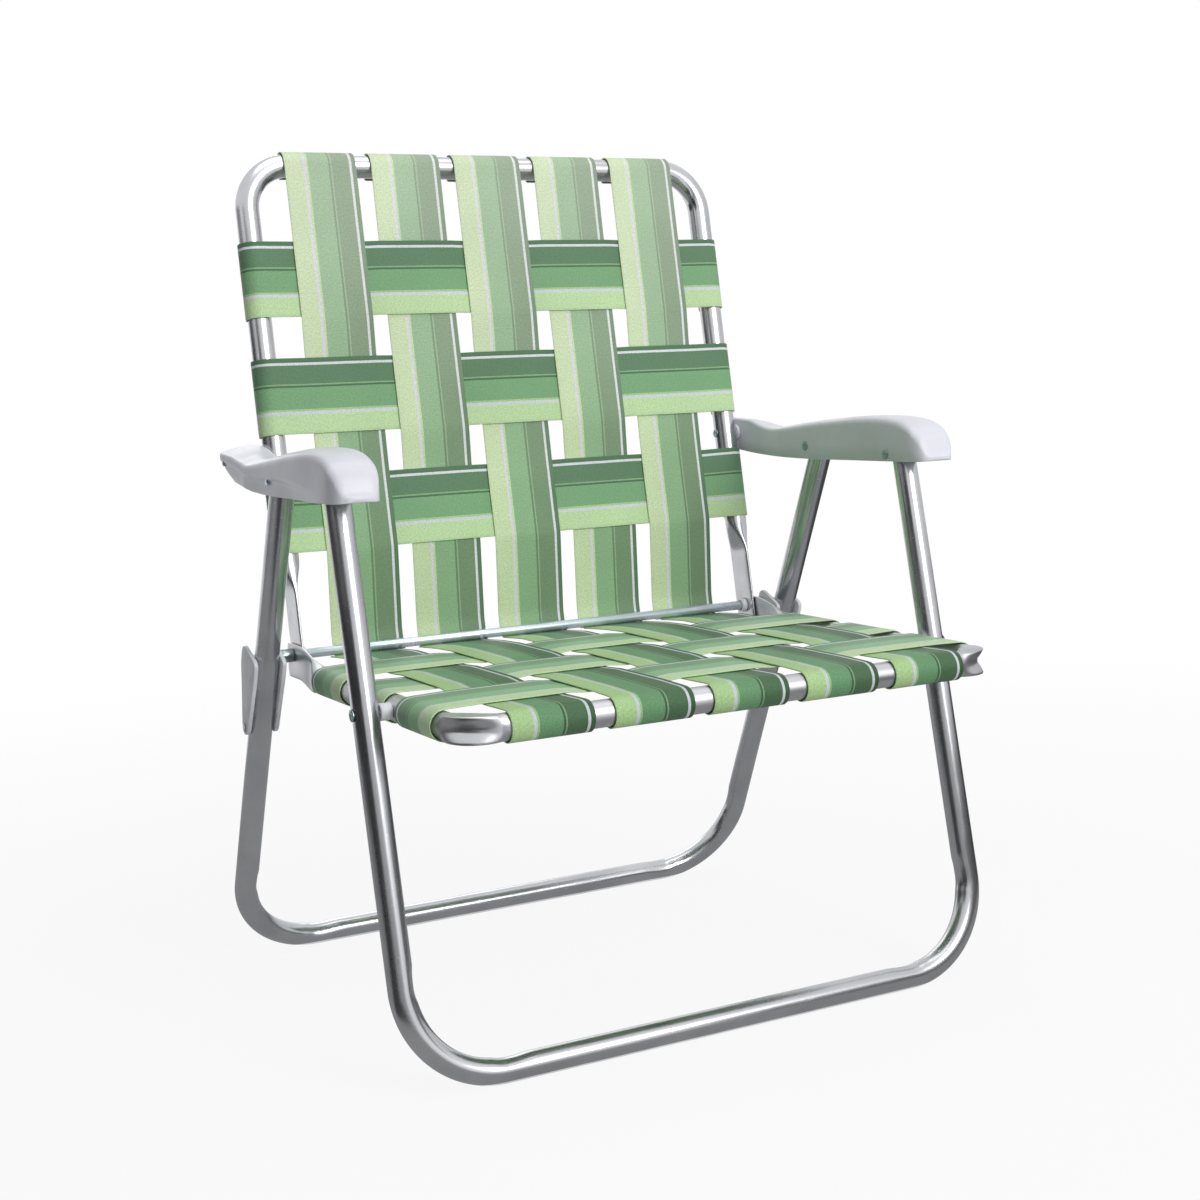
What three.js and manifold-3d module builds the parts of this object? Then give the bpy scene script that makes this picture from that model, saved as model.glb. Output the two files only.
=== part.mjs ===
// Folding webbed lawn chair: four bent aluminium tube frames, two moulded arms,
// two pairs of rear links and sixteen woven straps, in millimetres.
// X runs across the chair, -Y is its front and +Z is up. The chair stands open.

import * as THREE from "three";
import { mergeVertices } from "three/addons/utils/BufferGeometryUtils.js";
import Module from "manifold-3d";

const wasm = await Module();
wasm.setup();

// Tubes
const tubeRadius = 11.1;
const tubeWall = 1.2;
const tubeSides = 12;
const tubeSquareness = 2;

// Flattened ends of the back and seat tubes, where the rod goes through
const plateHalfThickness = 1.6;
const plateHalfHeight = 16;
const plateSquareness = 4;

// Legs: leans from the vertical, and their pivots' heights over or under the rod
const frontLean = THREE.MathUtils.degToRad(11.87);
const rearLean = THREE.MathUtils.degToRad(25.06);
const legBendRadius = 80;
const frontArmPivotOverRod = 162.62;
const rearPinBelowLine = 3.3;
const linkPivotUnderRod = 65.04;
const legTopPastPivot = 12;

// Rod and back
const rodBehindFrontBar = 328.9;
const rodHeight = 319;
const rodBehindRearLeg = 16.4;
const rodRadius = 4.6;
const backRecline = THREE.MathUtils.degToRad(9.55);
const backHeight = 463.5;
const backHalfWidth = 247.7;
const backBendRadius = 44;
const armPivotUpBack = 183.5;
const backPlateReach = 54;
const backTaperEnd = 90;

// Seat
const seatDepth = 385.8;
const railDrop = 14.5;
const seatPinAboveRail = 1;
const plateDrop = 6;
const seatBendRadius = 30;
const seatPlateReach = 44;
const railFallStart = 12;
const railFallEnd = 62;
const seatTaperEnd = 80;
const cornerDish = 3.2;
const cornerSwell = 1.2;
const plateEndPastRod = 15;

// Clearances
const layerGap = 0.35;
const pivotGap = 0.3;
const strapGap = 0.3;
const pinFaceGap = 0.6;

// Straps
const strapWidth = 72;
const strapThickness = 1.2;
const weaveStep = 0.85;
const weaveMargin = 1.5;
const backStrapOnBend = 7.2;
const seatStrapInsideBend = 5.2;
const columnCount = 5;
const rowCount = 3;
const rowUnderArmPin = 9.5;
const backRowSpace = 39;
const rowBeforeSpacer = 5;
const seatRowSpace = 27;
const wrapStep = THREE.MathUtils.degToRad(30);
const crossWrapEnd = THREE.MathUtils.degToRad(210);
const barWrapEnd = THREE.MathUtils.degToRad(210);
const backStrapRodEnd = THREE.MathUtils.degToRad(-50);
const seatStrapRodStart = THREE.MathUtils.degToRad(-88);
const rodWrapStep = THREE.MathUtils.degToRad(25);
const strapDropEnd = 16;
const seatStrapRise = 42;

// Arms
const armWasherSpace = 3.8;
const armHeight = 42;
const armFlare = 10.8;
const armWall = 2.8;
const armTopWall = 3.2;
const armCrown = 1.4;
const armCornerRadius = 7;
const armCornerSteps = 3;
const cavityRearLength = 30;
const cavityNoseLength = 3;
const bossRadius = 6.5;

// Arm outline, from its rear end to its nose. The place along the arm is a share of the
// way from the rear pin to the front pin. Top and underside are heights above the line
// through those two pins, as shares of the arm's height. The last column is how far the
// outer wall stands past the leg, as a share of the arm's flare.
const armProfileShares = [
  [-0.045, 0.191, -0.082, 0.083],
  [-0.038, 0.278, -0.151, 0.231],
  [-0.011, 0.336, -0.211, 0.324],
  [0.051, 0.384, -0.270, 0.380],
  [0.089, 0.328, -0.303, 0.398],
  [0.135, 0.228, -0.344, 0.417],
  [0.208, 0.233, -0.386, 0.454],
  [0.343, 0.358, -0.404, 0.528],
  [0.470, 0.468, -0.377, 0.620],
  [0.631, 0.615, -0.313, 0.731],
  [0.804, 0.756, -0.237, 0.870],
  [0.950, 0.826, -0.174, 0.954],
  [1.027, 0.813, -0.134, 0.991],
  [1.089, 0.714, -0.100, 0.972],
  [1.135, 0.530, -0.077, 0.935],
  [1.166, 0.280, -0.060, 0.880],
  [1.181, 0.084, -0.045, 0.787],
];

// Pins, bolts, sleeves and bushes
const pinRadius = 2.9;
const pinHeadRadius = 5.2;
const pinHeadHeight = 1.9;
const pinTailRadius = 4.4;
const pinTailHeight = 1.5;
const headCrownShare = 0.62;
const pinSides = 12;
const spacerRadius = 7.2;
const spacerLength = 9.9;
const washerRadius = 8;
const sleeveWall = 1.6;
const bushRadius = 7.6;
const bushLength = 5.2;
const bushNoseRadius = 6;
const nutRadius = 5;
const nutHeight = 4.2;
const nutSides = 6;
const rodPocket = 2;

// Rear links: moulded cheeks on both sides of each rear leg
const cheekThickness = 4;
const cheekFootRadius = 7.6;
const cheekFrontReach = 12;
const cheekRearPastRod = 9.5;
const cheekTopPastRod = 9;
const cheekShoulderDrop = 24;
const cheekCornerRadius = 5;
const cheekBevel = 0.8;
const rivetRadius = 2.4;
const rivetHeadRadius = 4.2;
const rivetHeadHeight = 1.2;

// Overrun of every cutting tool past what it cuts
const overrun = 4;

const bright = { color: 0xc9cbce, roughness: 0.28, metalness: 1 };
const zinc = { color: 0x9fb0ba, roughness: 0.35, metalness: 1 };
const white = { color: 0xe4e4ea, roughness: 0.5, metalness: 0 };
const green = { color: 0x7fae78, roughness: 0.75, metalness: 0 };
const paleGreen = { color: 0xa8cc92, roughness: 0.75, metalness: 0 };

const chair = new THREE.Group();
chair.name = "folding_webbed_lawn_chair";

// Gives a plain indexed geometry, turned the right way out by the sign of its volume
function closedGeometry(positions, indices) {
  const geometry = new THREE.BufferGeometry();
  geometry.setAttribute("position", new THREE.Float32BufferAttribute(positions, 3));
  geometry.setIndex(indices);
  const a = new THREE.Vector3();
  const b = new THREE.Vector3();
  const c = new THREE.Vector3();
  const place = geometry.getAttribute("position");
  let volume = 0;
  for (let i = 0; i < indices.length; i += 3) {
    a.fromBufferAttribute(place, indices[i]);
    b.fromBufferAttribute(place, indices[i + 1]);
    c.fromBufferAttribute(place, indices[i + 2]);
    volume += a.dot(b.cross(c));
  }
  if (volume < 0) {
    for (let i = 0; i < indices.length; i += 3) {
      const swap = indices[i + 1];
      indices[i + 1] = indices[i + 2];
      indices[i + 2] = swap;
    }
    geometry.setIndex(indices);
  }
  return geometry;
}

// Skins a list of rings, each a list of points, into one closed body.
// With inner rings it is a pipe with open ends, without them its ends are capped.
function skinRings(outerRings, innerRings) {
  const positions = [];
  const indices = [];
  const count = outerRings[0].length;
  const rings = innerRings ? outerRings.concat(innerRings) : outerRings;
  for (const ring of rings) {
    for (const point of ring) positions.push(point.x, point.y, point.z);
  }
  const last = outerRings.length - 1;
  const joinRings = (from, to, flip) => {
    for (let k = 0; k < count; k += 1) {
      const next = (k + 1) % count;
      const corners = [from * count + k, from * count + next, to * count + next, to * count + k];
      const order = flip ? [0, 2, 1, 0, 3, 2] : [0, 1, 2, 0, 2, 3];
      for (const corner of order) indices.push(corners[corner]);
    }
  };
  for (let i = 0; i < last; i += 1) joinRings(i, i + 1, false);
  if (innerRings) {
    const offset = outerRings.length;
    for (let i = 0; i < last; i += 1) joinRings(offset + i, offset + i + 1, true);
    joinRings(0, offset, true);
    joinRings(last, offset + last, false);
  } else {
    for (let k = 1; k < count - 1; k += 1) {
      indices.push(0, k + 1, k);
      indices.push(last * count, last * count + k, last * count + k + 1);
    }
  }
  return closedGeometry(positions, indices);
}

// Turns a geometry into a solid for cutting and joining, and a solid back into a geometry
function toSolid(geometry) {
  const bare = geometry.clone();
  bare.deleteAttribute("normal");
  bare.deleteAttribute("uv");
  const merged = mergeVertices(bare);
  const vertProperties = new Float32Array(merged.getAttribute("position").array);
  const triVerts = new Uint32Array(merged.getIndex().array);
  return new wasm.Manifold(new wasm.Mesh({ numProp: 3, vertProperties, triVerts }));
}

function toGeometry(solid) {
  const mesh = solid.getMesh();
  const geometry = new THREE.BufferGeometry();
  geometry.setAttribute("position", new THREE.BufferAttribute(mesh.vertProperties, 3));
  geometry.setIndex(new THREE.BufferAttribute(mesh.triVerts, 1));
  return geometry;
}

// A round bar along X, between two places across the chair
function crossBar(radius, fromX, toX, y, z, sides) {
  const geometry = new THREE.CylinderGeometry(radius, radius, Math.abs(toX - fromX), sides);
  geometry.rotateZ(Math.PI / 2);
  geometry.translate((fromX + toX) / 2, y, z);
  return geometry;
}

function cutHoles(geometry, tools) {
  let solid = toSolid(geometry);
  for (const tool of tools) solid = solid.subtract(toSolid(tool));
  return toGeometry(solid);
}

function addMesh(group, name, geometry, finish) {
  const shaded = geometry.index ? geometry.toNonIndexed() : geometry;
  shaded.computeVertexNormals();
  const mesh = new THREE.Mesh(shaded, new THREE.MeshStandardMaterial(finish));
  mesh.name = name;
  group.add(mesh);
  return mesh;
}

// One section of a tube: its place, its direction and its half width and half depth
function tubeSection(station, frame, shrink) {
  const direction = new THREE.Vector3();
  direction.addScaledVector(frame.across, station.goX);
  direction.addScaledVector(frame.along, station.goAlong);
  direction.addScaledVector(frame.out, station.goOut);
  direction.normalize();
  const depthAxis = frame.out.clone();
  depthAxis.addScaledVector(direction, -depthAxis.dot(direction));
  depthAxis.normalize();
  const widthAxis = new THREE.Vector3().crossVectors(depthAxis, direction);
  const centre = new THREE.Vector3();
  centre.addScaledVector(frame.across, station.x);
  centre.addScaledVector(frame.along, station.along);
  centre.addScaledVector(frame.out, station.out);
  const grow = 1 / Math.cos(Math.PI / tubeSides);
  const ring = [];
  for (let k = 0; k < tubeSides; k += 1) {
    const angle = ((k + 1 / 2) * 2 * Math.PI) / tubeSides + station.facetTurn;
    const power = 2 / station.squareness;
    const wide = Math.sign(Math.cos(angle)) * Math.abs(Math.cos(angle)) ** power;
    const deep = Math.sign(Math.sin(angle)) * Math.abs(Math.sin(angle)) ** power;
    const point = centre.clone();
    point.addScaledVector(widthAxis, wide * grow * (station.halfWidth - shrink));
    point.addScaledVector(depthAxis, deep * grow * (station.halfDepth - shrink));
    ring.push(point);
  }
  return ring;
}

// Mirrors the left half of a U frame and skins it as a hollow tube
function tubeFrame(leftHalf, frame) {
  const rightHalf = leftHalf.map((station) => ({
    ...station,
    x: -station.x,
    goAlong: -station.goAlong,
    goOut: -station.goOut,
  }));
  const stations = leftHalf.concat(rightHalf.reverse());
  const outer = stations.map((station) => tubeSection(station, frame, 0));
  const inner = stations.map((station) => tubeSection(station, frame, tubeWall));
  return skinRings(outer, inner);
}

// A straight or tapering stretch of a frame's side, and the round corner after it
function sideStation(x, along, out, goOut, flat) {
  const round = 1 - flat;
  return {
    x,
    along,
    out,
    goX: 0,
    goAlong: 1,
    goOut,
    halfWidth: plateHalfThickness * flat + tubeRadius * round,
    halfDepth: plateHalfHeight * flat + tubeRadius * round,
    squareness: plateSquareness * flat + tubeSquareness * round,
    facetTurn: 0,
  };
}

function cornerStations(halfWidth, along, radius, out, steps, dish, swell, facetTurn) {
  const stations = [];
  for (let k = 0; k <= steps; k += 1) {
    const turn = (k / steps) * (Math.PI / 2);
    const bulge = Math.sin(2 * turn);
    const pull = dish * bulge;
    const reach = radius - pull / 2;
    stations.push({
      x: -(halfWidth - radius + reach * Math.cos(turn)),
      along: along - radius + reach * Math.sin(turn),
      out,
      goX: Math.sin(turn),
      goAlong: Math.cos(turn),
      goOut: 0,
      halfWidth: tubeRadius - pull / 2,
      halfDepth: tubeRadius + swell * bulge,
      squareness: tubeSquareness,
      facetTurn: (facetTurn * k) / steps,
    });
  }
  return stations;
}

const acrossAxis = new THREE.Vector3(1, 0, 0);
const behindAxis = new THREE.Vector3(0, 1, 0);
const upAxis = new THREE.Vector3(0, 0, 1);
const towardFront = new THREE.Vector3(0, -1, 0);
const towardFloor = new THREE.Vector3(0, 0, -1);

const sides = [
  { name: "left", sign: -1 },
  { name: "right", sign: 1 },
];

// The rear floor bar lies where its legs pass just in front of the rod
const rodRise = rodHeight - tubeRadius;
const rodToRearBar =
  (rodRise * Math.sin(rearLean) - rodBehindRearLeg) / Math.cos(rearLean);
const footSpread = rodBehindFrontBar + rodToRearBar;

// Places in the chair's side view, as [distance behind the front bar, height]
function onFrontLeg(up) {
  return [up * Math.sin(frontLean), tubeRadius + up * Math.cos(frontLean)];
}

function onRearLeg(up) {
  return [footSpread - up * Math.sin(rearLean), tubeRadius + up * Math.cos(rearLean)];
}

// The seat's pivot is just above the centre line of its rail
const seatPivotUp =
  (rodHeight - railDrop + seatPinAboveRail - tubeRadius) / Math.cos(frontLean);
const frontArmPivotUp =
  (rodHeight + frontArmPivotOverRod - tubeRadius) / Math.cos(frontLean);
const linkPivotUp = (rodHeight - linkPivotUnderRod - tubeRadius) / Math.cos(rearLean);
const frontArmPivot = onFrontLeg(frontArmPivotUp);
const seatPivot = onFrontLeg(seatPivotUp);
const backArmPivot = [
  rodBehindFrontBar + armPivotUpBack * Math.sin(backRecline),
  rodHeight + armPivotUpBack * Math.cos(backRecline),
];

// The rear leg's pin is a little below the line through the arm's two other pins
const armPinSpan = backArmPivot[0] - frontArmPivot[0];
const armPinFall = backArmPivot[1] - frontArmPivot[1];
const armSlope = armPinFall / armPinSpan;
const heightAtRearBar = backArmPivot[1] + armSlope * (footSpread - backArmPivot[0]);
const rearArmPivotUp =
  (heightAtRearBar - rearPinBelowLine - tubeRadius) /
  (Math.cos(rearLean) + armSlope * Math.sin(rearLean));
const rearArmPivot = onRearLeg(rearArmPivotUp);

// Layers across the chair, from the middle outwards
const seatHalfWidth = backHalfWidth + 2 * plateHalfThickness + layerGap;
const backPlateInner = backHalfWidth - plateHalfThickness;
const seatPlateOuter = seatHalfWidth + plateHalfThickness;
const seatRailOuter = seatHalfWidth + tubeRadius;
const legInner = seatRailOuter + spacerLength + 2 * layerGap;
const legHalfWidth = legInner + tubeRadius;
const legOuter = legHalfWidth + tubeRadius;
const innerCheekInner = legInner - layerGap - cheekThickness;
const outerCheekInner = legOuter + layerGap;
const backTubeInner = backHalfWidth - tubeRadius;
const backTubeOuter = backHalfWidth + tubeRadius;
const armInnerX = backTubeOuter + armWasherSpace;

// Groups, one for each frame, each with its own axes along its tubes
const backGroup = new THREE.Group();
backGroup.position.set(0, rodBehindFrontBar, rodHeight);
backGroup.rotation.x = -backRecline;
const seatGroup = new THREE.Group();
seatGroup.position.set(0, rodBehindFrontBar, rodHeight);
const frontGroup = new THREE.Group();
frontGroup.position.set(0, 0, tubeRadius);
frontGroup.rotation.x = -frontLean;
const rearGroup = new THREE.Group();
rearGroup.position.set(0, footSpread, tubeRadius);
rearGroup.rotation.x = rearLean;
const armGroup = new THREE.Group();
armGroup.position.set(0, backArmPivot[0], backArmPivot[1]);
chair.add(backGroup, seatGroup, frontGroup, rearGroup, armGroup);

// Back frame: an upturned U, its lower ends pressed flat for the rod
function makeBackFrame() {
  const frame = { across: acrossAxis, along: upAxis, out: towardFront };
  const taperLength = backTaperEnd - backPlateReach;
  const taperShares = [0.3, 0.65];
  const half = [
    sideStation(-backHalfWidth, -plateEndPastRod, 0, 0, 1),
    sideStation(-backHalfWidth, backPlateReach, 0, 0, 1),
  ];
  for (const share of taperShares) {
    const flat = Math.cos((share * Math.PI) / 2) ** 2;
    half.push(sideStation(-backHalfWidth, backPlateReach + taperLength * share, 0, 0, flat));
  }
  half.push(sideStation(-backHalfWidth, backTaperEnd, 0, 0, 0));
  const cornerSteps = 6;
  half.push(...cornerStations(backHalfWidth, backHeight, backBendRadius, 0, cornerSteps, 0, 0, 0));
  const holes = [];
  const reach = backHalfWidth + tubeRadius + overrun;
  holes.push(crossBar(rodRadius + pivotGap, -reach, reach, 0, 0, pinSides));
  holes.push(crossBar(pinRadius + pivotGap, -reach, reach, 0, armPivotUpBack, pinSides));
  addMesh(backGroup, "back_frame", cutHoles(tubeFrame(half, frame), holes), bright);
}

// Height and slope of the seat rail's centre line, at a place in front of the rod
function seatRailFall(along) {
  const length = railFallEnd - railFallStart;
  const share = Math.min(Math.max((along - railFallStart) / length, 0), 1);
  const rise = railDrop - plateDrop;
  const fall = -plateDrop - rise * Math.sin((share * Math.PI) / 2) ** 2;
  const slope = (-rise * Math.sin(share * Math.PI) * Math.PI) / 2 / length;
  return [fall, slope];
}

// Seat frame: a U with tight dished front corners; its rear ends rise to the rod
function makeSeatFrame() {
  const frame = { across: acrossAxis, along: towardFront, out: upAxis };
  const taperLength = seatTaperEnd - seatPlateReach;
  const taperShares = [0.25, 0.5, 0.75];
  const half = [
    sideStation(-seatHalfWidth, -plateEndPastRod, -plateDrop, 0, 1),
    sideStation(-seatHalfWidth, railFallStart, -plateDrop, 0, 1),
    sideStation(-seatHalfWidth, (railFallStart + seatPlateReach) / 2, ...seatRailFall(
      (railFallStart + seatPlateReach) / 2), 1),
  ];
  for (const share of [0, ...taperShares, 1]) {
    const flat = Math.cos((share * Math.PI) / 2) ** 2;
    const [fall, slope] = seatRailFall(seatPlateReach + taperLength * share);
    half.push(sideStation(-seatHalfWidth, seatPlateReach + taperLength * share, fall, slope, flat));
  }
  const cornerSteps = 6;
  const corner = cornerStations(
    seatHalfWidth, seatDepth, seatBendRadius, -railDrop, cornerSteps, cornerDish, cornerSwell, 0);
  half.push(...corner);
  const holes = [];
  const reach = seatRailOuter + overrun;
  holes.push(crossBar(rodRadius + pivotGap, -reach, reach, 0, 0, pinSides));
  const inside = seatHalfWidth - tubeRadius - overrun;
  const y = seatPivot[0] - rodBehindFrontBar;
  const z = seatPivot[1] - rodHeight;
  for (const side of sides) {
    holes.push(crossBar(
      pinRadius + pivotGap, side.sign * inside, side.sign * seatHalfWidth, y, z, pinSides));
  }
  addMesh(seatGroup, "seat_frame", cutHoles(tubeFrame(half, frame), holes), bright);
}

// Leg frames: U tubes with large bends and a bar that lies flat on the floor
function makeLegFrame(group, name, topUp, lean, pivotsUp) {
  const frame = { across: acrossAxis, along: towardFloor, out: towardFront };
  const cornerSteps = 7;
  const half = [sideStation(-legHalfWidth, -topUp, 0, 0, 0)];
  half.push(...cornerStations(legHalfWidth, 0, legBendRadius, 0, cornerSteps, 0, 0, lean));
  const reach = legOuter + overrun;
  const holes = pivotsUp.map(
    (up) => crossBar(pinRadius + pivotGap, -reach, reach, 0, up, pinSides));
  addMesh(group, name, cutHoles(tubeFrame(half, frame), holes), bright);
}

// A pin along X as one turned piece: head, shank and a smaller tail, outside to inside
function turnedPin(side, headFace, tailFace, radii, heights, y, z) {
  const span = headFace - tailFace;
  const profile = [new THREE.Vector2(0, -heights.tail)];
  if (heights.tail > 0) {
    profile.push(new THREE.Vector2(radii.tail, -heights.tail));
    profile.push(new THREE.Vector2(radii.tail, 0));
  }
  profile.push(new THREE.Vector2(radii.shank, 0));
  profile.push(new THREE.Vector2(radii.shank, span));
  profile.push(new THREE.Vector2(radii.head, span));
  profile.push(new THREE.Vector2(radii.head * headCrownShare, span + heights.head));
  profile.push(new THREE.Vector2(0, span + heights.head));
  const geometry = new THREE.LatheGeometry(profile, pinSides);
  geometry.rotateZ(-Math.PI / 2);
  geometry.translate(tailFace, 0, 0);
  if (side.sign < 0) geometry.rotateZ(Math.PI);
  geometry.translate(0, y, z);
  return weldLathe(geometry);
}

// Welds a turned piece's seam and its two poles
function weldLathe(geometry) {
  geometry.deleteAttribute("normal");
  geometry.deleteAttribute("uv");
  const merged = mergeVertices(geometry);
  const source = Array.from(merged.getIndex().array);
  const indices = [];
  for (let i = 0; i < source.length; i += 3) {
    const [a, b, c] = source.slice(i, i + 3);
    if (a !== b && b !== c && a !== c) indices.push(a, b, c);
  }
  return closedGeometry(Array.from(merged.getAttribute("position").array), indices);
}

// A ring along X between two faces, with a bore
function ringAlongX(side, innerFace, outerFace, boreRadius, innerRadius, outerRadius, y, z) {
  const profile = [
    new THREE.Vector2(boreRadius, innerFace),
    new THREE.Vector2(innerRadius, innerFace),
    new THREE.Vector2(outerRadius, outerFace),
    new THREE.Vector2(boreRadius, outerFace),
    new THREE.Vector2(boreRadius, innerFace),
  ];
  const geometry = new THREE.LatheGeometry(profile, pinSides);
  geometry.rotateZ(-Math.PI / 2);
  if (side.sign < 0) geometry.rotateZ(Math.PI);
  geometry.translate(0, y, z);
  return weldLathe(geometry);
}

// A strap as a thin ribbon that follows points in a plane, given as [along, out]
function ribbon(points, axes, lateral, width) {
  const rings = [];
  for (let i = 0; i < points.length; i += 1) {
    const before = points[Math.max(i - 1, 0)];
    const here = points[i];
    const after = points[Math.min(i + 1, points.length - 1)];
    const inward = new THREE.Vector2(here[0] - before[0], here[1] - before[1]).normalize();
    const onward = new THREE.Vector2(after[0] - here[0], after[1] - here[1]).normalize();
    const heading = inward.clone().add(onward).normalize();
    const bend = i > 0 && i < points.length - 1 ? inward.dot(heading) : 1;
    const half = strapThickness / 2 / bend;
    const normal = [-heading.y * half, heading.x * half];
    const ring = [];
    for (const [edge, face] of [[-1, -1], [1, -1], [1, 1], [-1, 1]]) {
      const point = new THREE.Vector3();
      point.addScaledVector(axes.lateral, lateral + (edge * width) / 2);
      point.addScaledVector(axes.along, here[0] + face * normal[0]);
      point.addScaledVector(axes.out, here[1] + face * normal[1]);
      ring.push(point);
    }
    rings.push(ring);
  }
  return skinRings(rings, null);
}

// Points of a strap's turn round a bar, as angles from the face side of the bar
function wrapPoints(centre, radius, fromAngle, toAngle, step) {
  const turns = Math.max(1, Math.round(Math.abs(toAngle - fromAngle) / step));
  const points = [];
  for (let k = 0; k <= turns; k += 1) {
    const angle = fromAngle + ((toAngle - fromAngle) * k) / turns;
    points.push([centre[0] + radius * Math.cos(angle), centre[1] + radius * Math.sin(angle)]);
  }
  return points;
}

// Two points at each crossing, where the strap lies over or under the other ones
function weavePoints(crossings, level, otherWidth) {
  const points = [];
  for (const crossing of crossings) {
    const half = otherWidth / 2 + weaveMargin;
    const direction = crossing.forward;
    const out = level + crossing.over * weaveStep;
    points.push([crossing.at - half * direction, out]);
    points.push([crossing.at + half * direction, out]);
  }
  return points;
}

const polygonGrow = 1 / Math.cos(Math.PI / tubeSides);
const tubeWrapRadius =
  (tubeRadius * polygonGrow + strapGap) / Math.cos(wrapStep / 2) + strapThickness / 2;
const rodWrapRadius =
  (rodRadius + pivotGap + strapGap) / Math.cos(rodWrapStep / 2) + strapThickness / 2;

// Places of the columns, the outer ones with their outer edges at a given place
function columnPlaces(outerEdge) {
  const outermost = outerEdge - strapWidth / 2;
  const places = [];
  for (let k = 0; k < columnCount; k += 1) {
    places.push(((2 * k) / (columnCount - 1) - 1) * outermost);
  }
  return places;
}

function rowPlaces(first, pitch) {
  const places = [];
  for (let k = 0; k < rowCount; k += 1) places.push(first + k * pitch);
  return places;
}

// A strap across a frame: round the outside of both side tubes and woven through the columns
function crossStrap(axes, halfWidth, place, columns, overs) {
  const halfTurn = Math.PI / 2;
  const left = wrapPoints(
    [-halfWidth, axes.level], tubeWrapRadius, halfTurn + crossWrapEnd, halfTurn, wrapStep);
  const right = wrapPoints(
    [halfWidth, axes.level], tubeWrapRadius, halfTurn, halfTurn - crossWrapEnd, wrapStep);
  const crossings = columns.map((at, k) => ({ at, over: overs[k], forward: 1 }));
  const surface = axes.level + tubeWrapRadius;
  const points = [...left, ...weavePoints(crossings, surface, strapWidth), ...right];
  return ribbon(points, axes, place, strapWidth);
}

// Back webbing: columns hang from the top bar and pass behind the rod, rows go across
function makeBackStraps() {
  const lowest = armPivotUpBack - washerRadius - rowUnderArmPin - strapWidth / 2;
  const rows = rowPlaces(lowest, strapWidth + backRowSpace).reverse();
  const columns = columnPlaces(backHalfWidth - backBendRadius + backStrapOnBend);
  const columnAxes = { lateral: acrossAxis, along: upAxis, out: towardFront, level: 0 };
  const quarter = Math.PI / 2;
  columns.forEach((place, column) => {
    const crossings = rows.map((at, row) => {
      const over = (column + row) % 2 === 0 ? 1 : -1;
      return { at, over, forward: -1 };
    });
    const bar = wrapPoints(
      [backHeight, 0], tubeWrapRadius, quarter - barWrapEnd, quarter, wrapStep);
    const weave = weavePoints(crossings, tubeWrapRadius, strapWidth);
    const behindRod = wrapPoints(
      [0, 0], rodWrapRadius, -quarter, -quarter + backStrapRodEnd, rodWrapStep);
    const lead = [[strapDropEnd, -rodWrapRadius]];
    const points = [...bar, ...weave, ...lead, ...behindRod];
    const name = "back_strap_long_" + (column + 1);
    addMesh(backGroup, name, ribbon(points, columnAxes, place, strapWidth), green);
  });
  const rowAxes = { lateral: upAxis, along: acrossAxis, out: towardFront, level: 0 };
  rows.forEach((place, row) => {
    const overs = columns.map((_, column) => ((column + row) % 2 === 0 ? -1 : 1));
    const strap = crossStrap(rowAxes, backHalfWidth, place, columns, overs);
    addMesh(backGroup, "back_strap_cross_" + (row + 1), strap, paleGreen);
  });
}

// Seat webbing: columns come from under the rod to the front rail, rows go across
function makeSeatStraps() {
  const spacerFront = rodBehindFrontBar - seatPivot[0] + spacerRadius;
  const foremost = spacerFront + rowBeforeSpacer + strapWidth / 2;
  const rows = rowPlaces(foremost, -strapWidth - seatRowSpace).reverse();
  const columns = columnPlaces(seatHalfWidth - seatBendRadius - seatStrapInsideBend);
  const columnAxes = { lateral: acrossAxis, along: towardFront, out: upAxis };
  const surface = -railDrop + tubeWrapRadius;
  const quarter = Math.PI / 2;
  columns.forEach((place, column) => {
    const crossings = rows.map((at, row) => {
      const over = (column + row) % 2 === 0 ? -1 : 1;
      return { at, over, forward: 1 };
    });
    const underRod = [[-rodWrapRadius * Math.cos(seatStrapRodStart), -rodWrapRadius]];
    const rise = [[seatStrapRise, surface - weaveStep]];
    const weave = weavePoints(crossings, surface, strapWidth);
    const bar = wrapPoints(
      [seatDepth, -railDrop], tubeWrapRadius, quarter, quarter - barWrapEnd, wrapStep);
    const points = [...underRod, ...rise, ...weave, ...bar];
    const name = "seat_strap_long_" + (column + 1);
    addMesh(seatGroup, name, ribbon(points, columnAxes, place, strapWidth), green);
  });
  const rowAxes = { lateral: towardFront, along: acrossAxis, out: upAxis, level: -railDrop };
  rows.forEach((place, row) => {
    const overs = columns.map((_, column) => ((column + row) % 2 === 0 ? 1 : -1));
    const strap = crossStrap(rowAxes, seatHalfWidth, place, columns, overs);
    addMesh(seatGroup, "seat_strap_cross_" + (row + 1), strap, paleGreen);
  });
}

// One section of an arm: a box with a crowned top and round upper edges
function armSection(side, y, top, under, inner, outer, radius) {
  const middle = (inner + outer) / 2;
  const round = Math.min(radius, (top - under) / 2, (outer - inner) / 3);
  const outline = [[inner, under], [outer, under]];
  for (let k = 0; k <= armCornerSteps; k += 1) {
    const angle = (k / armCornerSteps) * (Math.PI / 2);
    outline.push([outer - round + round * Math.cos(angle), top - round + round * Math.sin(angle)]);
  }
  outline.push([middle, top + Math.min(armCrown, round)]);
  for (let k = armCornerSteps; k >= 0; k -= 1) {
    const angle = (k / armCornerSteps) * (Math.PI / 2);
    outline.push([inner + round - round * Math.cos(angle), top - round + round * Math.sin(angle)]);
  }
  return outline.map(([x, z]) => new THREE.Vector3(side.sign * x, y, z));
}

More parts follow.
